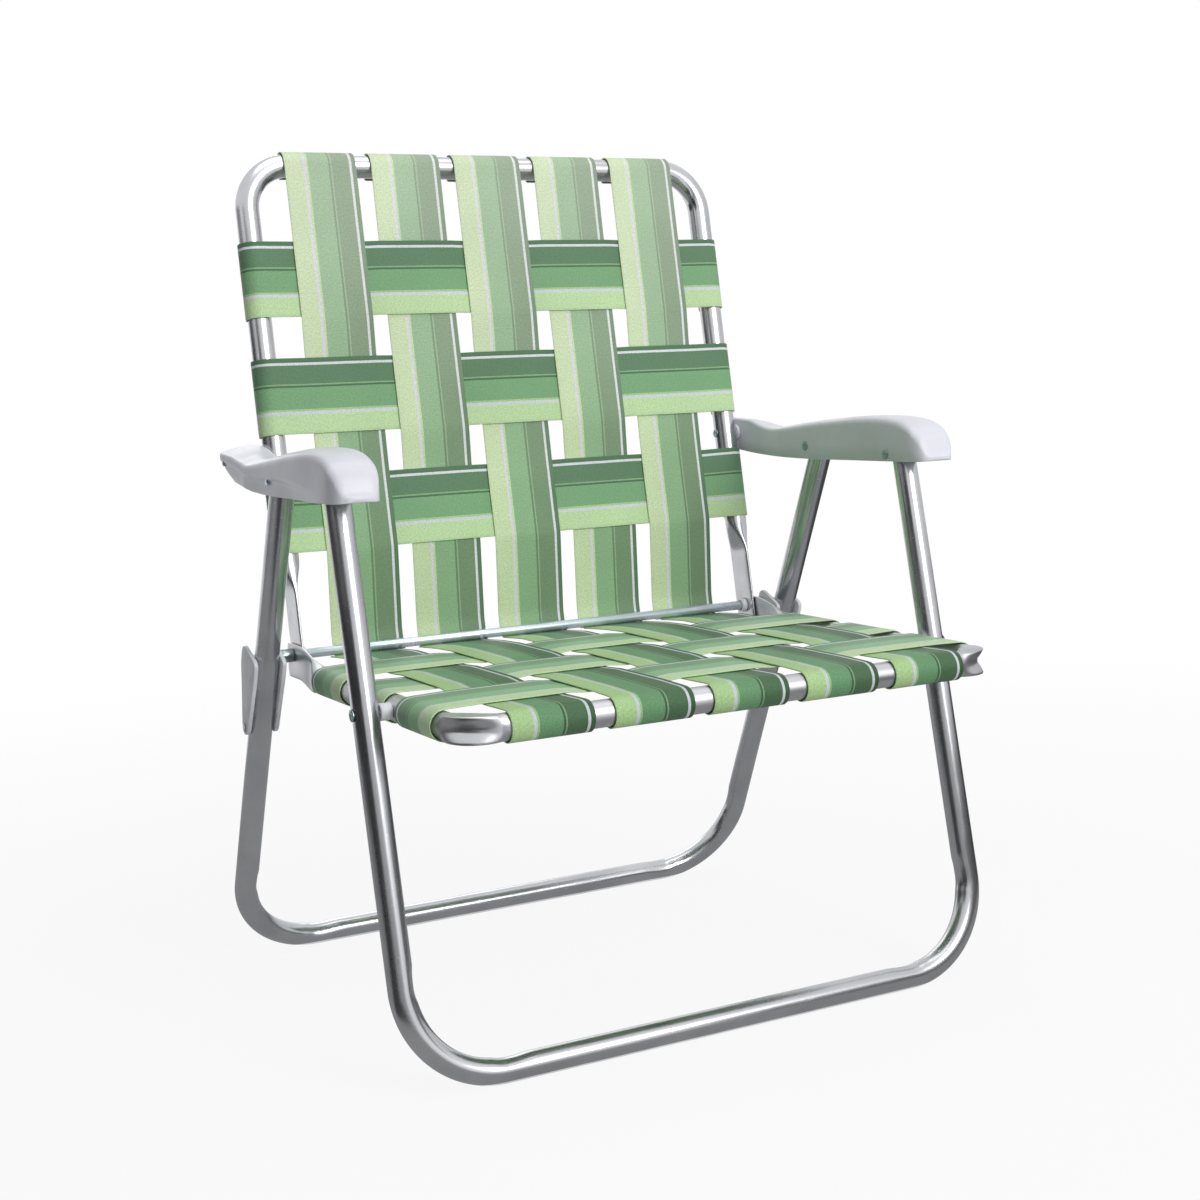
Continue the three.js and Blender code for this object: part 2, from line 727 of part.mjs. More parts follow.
// The arm's stations in its own frame, from its rear pin forwards
const armStations = armProfileShares.map(([alongShare, topShare, underShare, flareShare]) => {
  const line = -armPinFall * alongShare;
  return {
    along: alongShare * armPinSpan,
    top: line + topShare * armHeight,
    under: line + underShare * armHeight,
    outer: legOuter + flareShare * armFlare,
  };
});

// A moulded arm: hollow underneath, with bosses that hold the two leg pins
function makeArm(side) {
  const outerRings = armStations.map((station) => armSection(
    side, -station.along, station.top, station.under, armInnerX, station.outer, armCornerRadius));
  let solid = toSolid(skinRings(outerRings, null));
  const inCavity = armStations.filter(
    (station) => station.along > cavityRearLength && station.top - station.under > bossRadius * 2);
  const cavityRings = inCavity.map((station, index) => {
    const isNose = index === inCavity.length - 1;
    const y = -station.along + (isNose ? cavityNoseLength : 0);
    return armSection(
      side, y, station.top - armTopWall, station.under - overrun,
      armInnerX + armWall, station.outer - armWall, armCornerRadius - armWall);
  });
  solid = solid.subtract(toSolid(skinRings(cavityRings, null)));
  const pins = [frontArmPivot, rearArmPivot, backArmPivot];
  for (const pin of pins) {
    const y = pin[0] - backArmPivot[0];
    const z = pin[1] - backArmPivot[1];
    const outer = outerFaceAt(-y);
    if (pin !== backArmPivot) {
      const bosses = [
        [armInnerX + armWall / 2, legInner - pivotGap],
        [legOuter + pivotGap, outer - armWall / 2],
      ];
      for (const [from, to] of bosses) {
        const boss = crossBar(bossRadius, side.sign * from, side.sign * to, y, z, pinSides);
        solid = solid.add(toSolid(boss));
      }
    }
    const hole = crossBar(
      pinRadius + pivotGap, side.sign * (armInnerX - overrun), side.sign * (outer + overrun),
      y, z, pinSides);
    solid = solid.subtract(toSolid(hole));
  }
  addMesh(armGroup, "armrest_" + side.name, toGeometry(solid), white);
}

// The arm's outer face at a place along the arm
function outerFaceAt(along) {
  for (let k = 1; k < armStations.length; k += 1) {
    const before = armStations[k - 1];
    const after = armStations[k];
    if (along <= after.along) {
      const share = (along - before.along) / (after.along - before.along);
      return before.outer + (after.outer - before.outer) * share;
    }
  }
  return armStations[armStations.length - 1].outer;
}

const pinRadii = { shank: pinRadius, head: pinHeadRadius, tail: pinTailRadius };
const pinHeights = { head: pinHeadHeight, tail: pinTailHeight };

// Pins that join the arms to the legs and the back
function makeArmPins(side) {
  const places = [
    { name: "arm_front_pin_", pivot: frontArmPivot, inner: armInnerX },
    { name: "arm_rear_pin_", pivot: rearArmPivot, inner: armInnerX },
    { name: "back_pivot_bolt_", pivot: backArmPivot, inner: backTubeInner },
  ];
  for (const place of places) {
    const y = place.pivot[0] - backArmPivot[0];
    const z = place.pivot[1] - backArmPivot[1];
    const head = outerFaceAt(-y) + pinFaceGap;
    const pin = turnedPin(side, head, place.inner - pinFaceGap, pinRadii, pinHeights, y, z);
    addMesh(armGroup, place.name + side.name, pin, zinc);
  }
  const washer = ringAlongX(
    side, backTubeOuter + pivotGap, armInnerX - pivotGap, pinRadius + pivotGap,
    washerRadius, washerRadius, 0, 0);
  addMesh(armGroup, "arm_washer_" + side.name, washer, white);
}

// Bolt, spacer and nut where the front leg carries the seat rail
function makeSeatPivot(side) {
  const boltRadii = { shank: pinRadius, head: pinHeadRadius, tail: pinRadius };
  const bolt = turnedPin(
    side, legOuter + pinFaceGap, seatRailOuter + layerGap, boltRadii,
    { head: pinHeadHeight, tail: 0 }, 0, seatPivotUp);
  addMesh(frontGroup, "seat_pivot_bolt_" + side.name, bolt, zinc);
  const spacer = ringAlongX(
    side, seatRailOuter + layerGap, legInner - layerGap, pinRadius + pivotGap,
    spacerRadius, spacerRadius, 0, seatPivotUp);
  addMesh(frontGroup, "seat_spacer_" + side.name, spacer, white);
  const y = seatPivot[0] - rodBehindFrontBar;
  const z = seatPivot[1] - rodHeight;
  const nutFace = seatHalfWidth - tubeRadius - pinFaceGap;
  const stub = nutFace + tubeWall + pinFaceGap;
  const profile = [
    new THREE.Vector2(0, nutFace - nutHeight),
    new THREE.Vector2(nutRadius, nutFace - nutHeight),
    new THREE.Vector2(nutRadius, nutFace),
    new THREE.Vector2(pinRadius, nutFace),
    new THREE.Vector2(pinRadius, stub),
    new THREE.Vector2(0, stub),
  ];
  const nut = new THREE.LatheGeometry(profile, nutSides * 2);
  nut.rotateZ(-Math.PI / 2);
  if (side.sign < 0) nut.rotateZ(Math.PI);
  nut.translate(0, y, z);
  addMesh(seatGroup, "seat_nut_" + side.name, weldLathe(nut), zinc);
}

// The rod, its bushes inside the back tubes and its sleeves outside the seat plates
function makeRod() {
  const rodEnd = outerCheekInner + rodPocket;
  const rod = crossBar(rodRadius, -rodEnd, rodEnd, 0, 0, pinSides);
  addMesh(backGroup, "pivot_rod", weldLathe(rod), zinc);
  for (const side of sides) {
    const bushOuter = backPlateInner - layerGap;
    const bush = ringAlongX(
      side, bushOuter - bushLength, bushOuter, rodRadius + pivotGap, bushNoseRadius, bushRadius, 0, 0);
    addMesh(backGroup, "rod_bush_" + side.name, bush, white);
    const sleeveRadius = rodRadius + pivotGap + sleeveWall;
    const sleeve = ringAlongX(
      side, seatPlateOuter + layerGap, innerCheekInner - layerGap, rodRadius + pivotGap,
      sleeveRadius, sleeveRadius, 0, 0);
    addMesh(backGroup, "rod_sleeve_" + side.name, sleeve, zinc);
  }
}

// A link cheek in the rear leg's own plane: round at the rivet, wide at the rod
function cheekShape(rodOffset, rodUp) {
  const front = -cheekFrontReach;
  const rear = rodOffset + cheekRearPastRod;
  const top = rodUp + cheekTopPastRod;
  const foot = linkPivotUp;
  const corner = cheekCornerRadius;
  const shoulder = top - cheekShoulderDrop;
  const shape = new THREE.Shape();
  shape.moveTo(-cheekFootRadius, foot);
  shape.lineTo(front, shoulder);
  shape.lineTo(front, top - corner);
  shape.absarc(front + corner, top - corner, corner, Math.PI, Math.PI / 2, true);
  shape.lineTo(rear - corner, top);
  shape.absarc(rear - corner, top - corner, corner, Math.PI / 2, 0, true);
  shape.lineTo(rear, shoulder + corner);
  shape.lineTo(cheekFootRadius, foot);
  shape.absarc(0, foot, cheekFootRadius, 0, -Math.PI, true);
  return shape;
}

function makeLinks() {
  const toRodY = rodBehindFrontBar - footSpread;
  const toRodZ = rodHeight - tubeRadius;
  const rodOffset = toRodY * Math.cos(rearLean) + toRodZ * Math.sin(rearLean);
  const rodUp = toRodZ * Math.cos(rearLean) - toRodY * Math.sin(rearLean);
  const shape = cheekShape(rodOffset, rodUp);
  for (const side of sides) {
    const layers = [
      { name: "inner", from: innerCheekInner, through: true },
      { name: "outer", from: outerCheekInner, through: false },
    ];
    for (const layer of layers) {
      const plate = new THREE.ExtrudeGeometry(shape, {
        depth: cheekThickness - 2 * cheekBevel,
        bevelEnabled: true,
        bevelThickness: cheekBevel,
        bevelSize: cheekBevel,
        bevelOffset: -cheekBevel,
        bevelSegments: 1,
        curveSegments: 4,
      });
      plate.rotateX(Math.PI / 2);
      plate.rotateZ(Math.PI / 2);
      plate.translate(cheekBevel, 0, 0);
      const low = side.sign > 0 ? layer.from : -layer.from - cheekThickness;
      plate.translate(low, 0, 0);
      const pocketEnd = layer.from + rodPocket + pivotGap;
      const holeFar = layer.through ? layer.from + cheekThickness + overrun : pocketEnd;
      const rodHole = crossBar(
        rodRadius + pivotGap, side.sign * (layer.from - overrun), side.sign * holeFar,
        rodOffset, rodUp, pinSides);
      const rivetHole = crossBar(
        rivetRadius + pivotGap, side.sign * (layer.from - overrun),
        side.sign * (layer.from + cheekThickness + overrun), 0, linkPivotUp, pinSides);
      const cut = cutHoles(plate, [rodHole, rivetHole]);
      const name = "rear_link_" + layer.name + "_" + side.name;
      addMesh(rearGroup, name, cut, white);
      const facesOut = layer.name === "outer";
      const faceIn = layer.from;
      const faceOut = layer.from + cheekThickness;
      const rivet = linkRivet(side, facesOut, faceIn, faceOut);
      addMesh(rearGroup, "link_rivet_" + layer.name + "_" + side.name, rivet, zinc);
    }
  }
}

// A short rivet: its head on the cheek's open face, its shank through the cheek only
function linkRivet(side, facesOut, faceIn, faceOut) {
  const headFace = facesOut ? faceOut + pivotGap : faceIn - pivotGap;
  const headTop = facesOut ? headFace + rivetHeadHeight : headFace - rivetHeadHeight;
  const shankEnd = facesOut ? faceIn : faceOut;
  const profile = [
    new THREE.Vector2(0, shankEnd),
    new THREE.Vector2(rivetRadius, shankEnd),
    new THREE.Vector2(rivetRadius, headFace),
    new THREE.Vector2(rivetHeadRadius, headFace),
    new THREE.Vector2(rivetHeadRadius * headCrownShare, headTop),
    new THREE.Vector2(0, headTop),
  ];
  const rivet = new THREE.LatheGeometry(profile, pinSides);
  rivet.rotateZ(-Math.PI / 2);
  if (side.sign < 0) rivet.rotateZ(Math.PI);
  rivet.translate(0, 0, linkPivotUp);
  return weldLathe(rivet);
}

makeBackFrame();
makeSeatFrame();
makeLegFrame(
  frontGroup, "front_leg_frame", frontArmPivotUp + legTopPastPivot, frontLean,
  [frontArmPivotUp, seatPivotUp]);
makeLegFrame(
  rearGroup, "rear_leg_frame", rearArmPivotUp + legTopPastPivot, -rearLean, [rearArmPivotUp]);
makeRod();
makeLinks();
for (const side of sides) {
  makeArm(side);
  makeArmPins(side);
  makeSeatPivot(side);
}
makeBackStraps();
makeSeatStraps();

// The origin is the middle of the chair's footprint on the floor
chair.updateMatrixWorld(true);
const extent = new THREE.Box3().setFromObject(chair);
chair.position.y = -(extent.min.y + extent.max.y) / 2;
chair.updateMatrixWorld(true);

export default chair;
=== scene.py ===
import math

import bmesh
import bpy
import numpy as np
from mathutils import Matrix, Vector


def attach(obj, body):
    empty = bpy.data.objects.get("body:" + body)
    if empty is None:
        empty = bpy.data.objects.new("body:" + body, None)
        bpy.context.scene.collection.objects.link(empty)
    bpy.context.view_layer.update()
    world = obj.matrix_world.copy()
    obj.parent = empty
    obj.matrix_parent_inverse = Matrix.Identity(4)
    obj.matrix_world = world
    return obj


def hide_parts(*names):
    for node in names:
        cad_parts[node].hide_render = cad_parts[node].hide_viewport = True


# Folding webbed lawn chair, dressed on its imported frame. Metres, +Z up, -Y is the front.

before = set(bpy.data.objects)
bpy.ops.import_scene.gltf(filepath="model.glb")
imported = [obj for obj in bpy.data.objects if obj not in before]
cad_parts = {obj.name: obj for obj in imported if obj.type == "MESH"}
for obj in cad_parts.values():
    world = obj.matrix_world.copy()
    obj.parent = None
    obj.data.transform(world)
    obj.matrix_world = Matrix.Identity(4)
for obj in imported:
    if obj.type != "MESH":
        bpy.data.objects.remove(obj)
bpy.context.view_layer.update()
print("frame loaded")

pi = math.pi
sideNames = {"Left": -1, "Right": 1}


def leaning(at, degrees, flip):
    # A frame's axes in the side view: the way along its tubes and the way out of its flat side
    c, s = math.cos(math.radians(degrees)), math.sin(math.radians(degrees))
    return {"at": at, "along": (flip * s, flip * c), "out": (-c, s)}


# Frames by a place (y, z) and their lean from the vertical, then the pivots
backAxes = leaning((0.129081, 0.319), 9.55, 1)
frontAxes = leaning((-0.199819, 0.0111), 11.87, -1)  # along runs down the legs to the floor bar
rearAxes = leaning((0.254946, 0.0111), -25.06, -1)
seatAxes = {"at": backAxes["at"], "along": (-1.0, 0.0), "out": (0.0, 1.0)}
places = {
    "rod": backAxes["at"], "seatPivot": (-0.13794, 0.3055), "linkRivet": (0.141387, 0.253962),
    "armBack": (0.159525, 0.499957), "armFront": (-0.100922, 0.481619),
    "armRear": (0.032102, 0.487685),
}


def placed(axes, local):
    # local holds x, way along and way out in its last column; gives x, y, z
    x, along, out = local[..., 0], local[..., 1], local[..., 2]
    y = axes["at"][0] + along * axes["along"][0] + out * axes["out"][0]
    z = axes["at"][1] + along * axes["along"][1] + out * axes["out"][1]
    return np.stack([x, y, z], -1)


def smoothStep(low, high, value):
    t = np.clip((value - low) / (high - low), 0, 1)
    return t * t * (3 - 2 * t)


def lengthAlong(line):
    return np.concatenate([[0], np.cumsum(np.linalg.norm(np.diff(line, axis=0), axis=1))])


def pointsAt(line, lengths):
    run = lengthAlong(line)
    return np.stack([np.interp(lengths, run, line[:, k]) for k in range(2)], -1)


def smoothed(line, reach, width):
    # Each point weighed with its neighbours by exp(-(n / width) ** 2 / 2), reach points each way
    bell = np.exp(-0.5 * (np.arange(-reach, reach + 1) / width) ** 2)
    bell = bell / bell.sum()
    return np.stack([np.convolve(line[:, k], bell, "valid") for k in range(2)], -1)


# Meshes

mergeWithin = 2e-7
dissolveWithin = 1e-7


def addObject(name, data):
    made = bpy.data.objects.new(name, data)
    bpy.context.scene.collection.objects.link(made)
    return made


def skin(name, points, u, v, turnUv=False, sharpFrom=None):
    # A grid of points, rows along the piece and columns that wrap round it, as one skin. It
    # closes where the points of an end meet. u has one value a row, v one a column plus one.
    rows, columns = points.shape[:2]
    i, j = np.meshgrid(np.arange(rows - 1), np.arange(columns), indexing="ij")
    around = [(i, j), (i, j + 1), (i + 1, j + 1), (i + 1, j)]
    faces = np.stack([a * columns + b % columns for a, b in around], -1).reshape(-1, 4)
    corners = np.stack([np.stack([u[a], v[b]], -1) for a, b in around], -2).reshape(-1, 4, 2)
    if turnUv:
        corners = corners[..., ::-1]
    flat = points.reshape(-1, 3)
    a, b, c, d = (flat[faces[:, k]] for k in range(4))
    volume = np.sum(a * np.cross(b, c)) + np.sum(a * np.cross(c, d))
    if volume < 0:
        faces, corners = faces[:, ::-1], corners[:, ::-1]
    mesh = bpy.data.meshes.new(name)
    mesh.from_pydata(flat.tolist(), [], faces.tolist())
    layer = mesh.uv_layers.new(name="UVMap")
    layer.data.foreach_set("uv", np.ascontiguousarray(corners, np.float32).ravel())
    body = bmesh.new()
    body.from_mesh(mesh)
    bmesh.ops.remove_doubles(body, verts=body.verts, dist=mergeWithin)
    bmesh.ops.dissolve_degenerate(body, edges=body.edges, dist=dissolveWithin)
    body.to_mesh(mesh)
    body.free()
    mesh.shade_smooth()
    if sharpFrom:
        mesh.set_sharp_from_angle(angle=math.radians(sharpFrom))
    return addObject(name, mesh)


def evenSkin(name, points, uvSize, sharpFrom=None):
    rows, columns = points.shape[:2]
    u, v = np.linspace(0, uvSize[0], rows), np.linspace(0, uvSize[1], columns + 1)
    return skin(name, points, u, v, sharpFrom=sharpFrom)


def finishPiece(piece, body, look, node=None):
    # A node is named as its piece, armWasherLeft as arm_washer_left, if it isn't given
    spelt = "".join("_" + a.lower() if a.isupper() else a for a in piece.name)
    piece.data.materials.append(looks[look])
    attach(piece, body)
    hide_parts(node or spelt)


# Materials

def operator(kind, reflected=False):
    def apply(self, other):
        return self.look.maths(kind, *((other, self) if reflected else (self, other)))
    return apply


class Wire:
    # A node's socket. Sums with it make Math nodes
    def __init__(self, look, socket):
        self.look, self.socket = look, socket

    __add__, __radd__ = operator("ADD"), operator("ADD", True)
    __sub__, __rsub__ = operator("SUBTRACT"), operator("SUBTRACT", True)
    __mul__, __rmul__ = operator("MULTIPLY"), operator("MULTIPLY", True)
    __gt__ = operator("GREATER_THAN")


class Look:
    def __init__(self, name, owner=None):
        # The nodes of a new material, or of the world that is given
        self.owner = owner or bpy.data.materials.new(name)
        self.owner.use_nodes = True
        self.tree = self.owner.node_tree
        self.tree.nodes.clear()

    def node(self, kind, values=None, out=0, **settings):
        made = self.tree.nodes.new("ShaderNode" + kind)
        for key, value in settings.items():
            setattr(made, key, value)
        for key, value in (values or {}).items():
            if isinstance(value, Wire):
                self.tree.links.new(value.socket, made.inputs[key])
            else:
                made.inputs[key].default_value = value
        return Wire(self, made.outputs[out])

    def maths(self, kind, *values):
        return self.node("Math", dict(enumerate(values)), operation=kind)

    def wave(self, angle):
        # The size of its sine
        return self.maths("ABSOLUTE", self.maths("SINE", angle))

    def spot(self, kind="Object"):
        return self.node("TexCoord", out=kind)

    def noise(self, vector, scale, detail, roughness=0.55):
        return self.node("TexNoise", {"Vector": vector, "Scale": scale, "Detail": detail,
                                      "Roughness": roughness})

    def grain(self, vector, stretch, scale=1.0, detail=2.0, roughness=0.55):
        # Noise stretched by its own amount each way
        spread = self.node("Mapping", {"Vector": vector, "Scale": stretch})
        return self.noise(spread, scale, detail, roughness)

    def split(self, vector):
        parts = self.node("SeparateXYZ", {0: vector}).socket.node.outputs
        return [Wire(self, part) for part in parts]

    def span(self, value, low, high, toLow, toHigh):
        return self.node("MapRange", {0: value, 1: low, 2: high, 3: toLow, 4: toHigh}, clamp=True)

    def mix(self, factor, first, second, blend="MIX"):
        # Sockets 6 and 7 of the node take colours, and its output 2 gives one
        return self.node("Mix", {0: factor, 6: first, 7: second}, 2,
                         data_type="RGBA", blend_type=blend)

    def steps(self, factor, stops):
        # Plain bands of colour, each from its own place on
        made = self.node("ValToRGB", {0: factor})
        ramp = made.socket.node.color_ramp
        ramp.interpolation = "CONSTANT"
        while len(ramp.elements) > 1:
            ramp.elements.remove(ramp.elements[-1])
        for n, (at, colour) in enumerate(stops):
            element = ramp.elements[0] if n == 0 else ramp.elements.new(at)
            element.position = at
            element.color = colour
        return made

    def bump(self, height, strength, distance):
        return self.node("Bump", {"Height": height, "Strength": strength, "Distance": distance})

    def finish(self, **values):
        named = {key.replace("_", " "): value for key, value in values.items()}
        return self.output(self.node("BsdfPrincipled", named))

    def output(self, shader, kind="OutputMaterial"):
        end = self.tree.nodes.new("ShaderNode" + kind)
        self.tree.links.new(shader.socket, end.inputs[0])
        return self.owner


def hexColour(text):
    # From display values to linear ones, by the usual curve
    parts = np.array([int(text[n:n + 2], 16) for n in (1, 3, 5)]) / 255
    linear = np.where(parts <= 0.04045, parts / 12.92, ((parts + 0.055) / 1.055) ** 2.4)
    return (*linear.tolist(), 1.0)


noiseFrom = (0.3, 0.7)  # the usual noise values between which something grows
evenly = (1.0, 1.0, 1.0)

# A colour and a shade that takes a share of it in clouds (scale and detail), a fine grain and
# small marks (stretch, scale and detail), and the strength and distance of their bump. The lines
# of a tube run along it
tubeFinish = {
    "colour": "#CBCCD0", "shade": "#ABACB1", "shadeFrom": (0.3, 0.75), "shadeShare": 0.8,
    "clouds": (14.0, 4.0), "roughFrom": (0.35, 0.7), "metallic": 1.0, "map": "UV",
    "grain": ((6.0, 1500.0, 1.0), 1.0, 2.0), "grainRough": 0.05, "grainHeight": 0.35,
    "marks": ((260.0, 420.0, 1.0), 1.0, 2.0), "marksOver": 0.735, "markRough": 0.12,
    "markDepth": 0.5, "bump": (0.12, 0.0004),
}
zincFinish = {
    "shadeFrom": (0.35, 0.7), "shadeShare": 1.0, "clouds": (45.0, 5.0), "roughFrom": noiseFrom,
    "roughness": (0.2, 0.36), "map": "Object", "grain": (evenly, 900.0, 2.0),
    "grainRough": 0.06, "grainHeight": 1.0, "marks": None, "bump": (0.1, 0.0003),
}
plasticFinish = {
    "shadeFrom": (0.35, 0.75), "shadeShare": 1.0, "clouds": (22.0, 4.0), "roughFrom": noiseFrom,
    "metallic": 0.0, "map": "Object", "grain": (evenly, 650.0, 2.0), "grainRough": 0.0,
    "grainHeight": 1.0, "marks": ((90.0, 14.0, 160.0), 6.0, 3.0), "marksOver": 0.69,
    "markRough": 0.1, "markDepth": 0.2, "bump": (0.1, 0.0002),
}
finishes = {
    "polishedTube": {**tubeFinish, "roughness": (0.17, 0.28)},
    "brushedTube": {**tubeFinish, "roughness": (0.30, 0.42)},
    "zincSteel": {**zincFinish, "colour": "#AEBBC2", "shade": "#8DA098", "metallic": 1.0},
    "zincRod": {**zincFinish, "colour": "#D0DCE4", "shade": "#BAC8CA", "metallic": 0.6},
    "armPlastic": {**plasticFinish, "colour": "#DEDFE8", "shade": "#D5D5DC",
                   "roughness": (0.34, 0.46)},
    "linkPlastic": {**plasticFinish, "colour": "#E2E3E6", "shade": "#D2D4D8",
                    "roughness": (0.38, 0.52)},
}


def hardLook(name):
    # Metal or plastic. Marks are cut in where their noise is high, and are rougher
    look, finish = Look(name), finishes[name]
    spot = look.spot(finish["map"])
    cloud = look.noise(look.spot(), *finish["clouds"])
    fine = look.grain(spot, *finish["grain"])
    rough = look.span(cloud, *finish["roughFrom"], *finish["roughness"])
    rough = rough + fine * finish["grainRough"]
    height = fine * finish["grainHeight"]
    if finish["marks"]:
        marks = look.grain(spot, *finish["marks"]) > finish["marksOver"]
        rough = rough + marks * finish["markRough"]
        height = height - marks * finish["markDepth"]
    share = look.span(cloud, *finish["shadeFrom"], 0.0, finish["shadeShare"])
    colour = look.mix(share, hexColour(finish["colour"]), hexColour(finish["shade"]))
    return look.finish(Base_Color=colour, Metallic=finish["metallic"], Roughness=rough,
                       Normal=look.bump(height, *finish["bump"]))


web = {
    "threads": 62, "pickPitch": 0.0014,  # warp ribs across the strap, one weft along it
    "ribHeight": 0.6, "pickHeight": 0.4, "bump": (0.5, 0.0004),
    # shares from the dark edge: edge, white, dark, light line, dark line, medium, lime, lilac, pale
    "shares": [0.0, 0.060, 0.094, 0.340, 0.363, 0.387, 0.672, 0.700, 0.746],
    # a painted sheen: between these heights the strap's colour is paled toward a light colour, as
    # light from above would pale it
    "topSheenHeights": (0.45, 0.76), "topSheenColour": "#F3F6E8",  # between these heights
    "wobble": (60.0, 2.0), "wobbleSize": 0.005, "clouds": (11.0, 3.0),
    # stretch, scale, detail and roughness of two noises of thread
    "grain": ((40.0, 420.0, 1.0), 1.0, 2.0, 0.7), "speckle": ((52.0, 720.0, 1.0), 1.0, 3.0, 0.8),
    # how far the weave darkens its hollows and lightens its ribs (painted shade and painted light),
    # and how far the noises darken and lighten the stripes at random
    "weavePaintedShading": (0.90, 1.04), "cloudTone": (0.95, 1.05), "grainTone": (0.93, 1.07),
    "speckleTone": (0.78, 1.22),
    "roughness": (0.44, 0.58), "sheenOfGloss": 0.25, "sheenRoughness": 0.4,
}
# share of gloss, how far the upper part is painted paler as a painted sheen of light from above,
# and the colours of the stripes
# The kinds are lit and shaded copies of one webbing: the back's long straps and the seat's cross
# straps are painted paler (painted sheen), and the back's cross straps and the seat's long straps
# darker (painted shade)
webKinds = {
    "backLong": (0.38, 0.22,
                 "#5A7D5A #E2E3E8 #76936F #93B38B #688866 #8DB488 #C4DCA2 #DADBE0 #CDE0B2"),
    "backCross": (0.36, 0.0,
                  "#4E7351 #DDE2E5 #5D8260 #87B083 #4C7050 #7AA87A #A5CC8F #D2D7DD #C1DEA9"),
    "seatLong": (0.24, 0.0,
                 "#3A5A3C #CBD1D6 #496A49 #7C9E77 #3D5E41 #66946A #98BE80 #C6CED2 #ABCC90"),
    "seatCross": (0.55, 0.0,
                  "#55805A #D8DEE0 #6B936C #8FB98A #5A8460 #85B585 #AFD09C #CBD5D3 #BFDAA8"),
}


def webLook(name):
    # Woven stripes across the strap, warp ribs crossed by wefts, and a fine speckle of thread
    look = Look("webbing" + name[0].upper() + name[1:])
    gloss, paintedTopSheen, colours = webKinds[name]
    uv = look.spot("UV")
    across, along, _ = look.split(uv)
    size = web["wobbleSize"]
    wobble = look.noise(uv, *web["wobble"]) * size - size / 2
    stripes = look.steps(across + wobble, zip(web["shares"], map(hexColour, colours.split())))
    # Painted sheen: the upper part is paled toward a light colour, more the higher it is
    if paintedTopSheen:
        topSheenShare = look.span(look.split(look.spot())[2], *web["topSheenHeights"], 0.0, paintedTopSheen)
        stripes = look.mix(topSheenShare, stripes, hexColour(web["topSheenColour"]))
    # Ribs: the size of sin(pi * threads * across). Picks: the same along, half a turn on at
    # every other rib
    ribs = look.wave(across * (web["threads"] * pi))
    shift = (look.maths("FRACT", across * web["threads"]) > 0.5) * (pi / 2)
    picks = look.wave(along * (pi / web["pickPitch"]) + shift)
    height = ribs * web["ribHeight"] + picks * web["pickHeight"]
    cloud = look.noise(look.spot(), *web["clouds"])
    grain = look.grain(uv, *web["grain"])
    speckle = look.grain(uv, *web["speckle"])
    # Painted shade in the weave's hollows and painted light on its ribs and picks
    tone = look.span(height, 0.0, 1.0, *web["weavePaintedShading"])
    for noise, reach in ((cloud, "cloudTone"), (grain, "grainTone"), (speckle, "speckleTone")):
        tone = tone * look.span(noise, *noiseFrom, *web[reach])
    grey = look.node("CombineColor", {0: tone, 1: tone, 2: tone})
    return look.finish(Base_Color=look.mix(1.0, stripes, grey, "MULTIPLY"),
                       Roughness=look.span(speckle, *noiseFrom, *web["roughness"]),
                       Specular_IOR_Level=gloss, Sheen_Weight=gloss * web["sheenOfGloss"],
                       Sheen_Roughness=web["sheenRoughness"],
                       Normal=look.bump(height, *web["bump"]))


looks = {name: hardLook(name) for name in finishes}
looks.update({name: webLook(name) for name in webKinds})
print("materials made")


# Tubes

tube = {
    "radius": 0.0111, "sides": 64, "step": 0.006, "bendSteps": 48,
    "roundPower": 2.0, "platePower": 2.2,  # what a pressed plate's section adds to the round one
    "dentPower": 0.8,
}

backTube = {
    "halfWidth": 0.2477, "height": 0.4635, "bend": 0.044, "start": -0.015,
    "plateEnd": 0.054, "roundFrom": 0.090, "plateWide": 0.0016, "plateDeep": 0.016,
}
seatTube = {
    **backTube, "halfWidth": 0.25125, "height": 0.3858, "bend": 0.030,
    "plateEnd": 0.044, "roundFrom": 0.080,
    "railDrop": 0.0145, "plateDrop": 0.006, "fallFrom": 0.012, "fallTo": 0.062,
    "square": 2.4, "spread": 0.0024, "swell": 0.0004,
}
frontTube = {"halfWidth": 0.28405, "height": 0.0, "bend": 0.080, "start": -0.492801}
rearTube = {**frontTube, "start": -0.540196}

# Rings that close a tube's end: how far in from the end, and share of the section
openEnd = [(0.02, 0.0), (0.02, 0.88), (0.0, 0.88), (0.0, 0.97), (0.0005, 1.0)]
pressedEnd = [(0.0, 0.0), (0.0, 0.80), (0.0004, 0.93), (0.0014, 1.0)]


def bentPath(shape):
    # Half of a U by its length s: a straight side, a quarter turn, then half of the bar
    straight = shape["height"] - shape["bend"] - shape["start"]
    arc = shape["bend"] * pi / 2
    bar = shape["halfWidth"] - shape["bend"]
    s = np.concatenate([
        np.linspace(0, straight, int(straight / tube["step"]) + 2)[:-1],
        straight + np.linspace(0, arc, tube["bendSteps"] + 1)[:-1],
        straight + arc + np.linspace(0, bar, int(bar / tube["step"]) + 2),
    ])
    turn = np.clip((s - straight) / shape["bend"], 0, pi / 2)
    x = -shape["halfWidth"] + shape["bend"] * (1 - np.cos(turn))
    x = x + np.clip(s - straight - arc, 0, None)
    along = shape["start"] + np.minimum(s, straight) + shape["bend"] * np.sin(turn)
    return s, x, along, turn, straight


def superRound(angle, power):
    # The round of a section: cosine and sine raised so that a higher power is squarer
    c, s = np.cos(angle), np.sin(angle)
    return np.sign(c) * np.abs(c) ** (2 / power), np.sign(s) * np.abs(s) ** (2 / power)


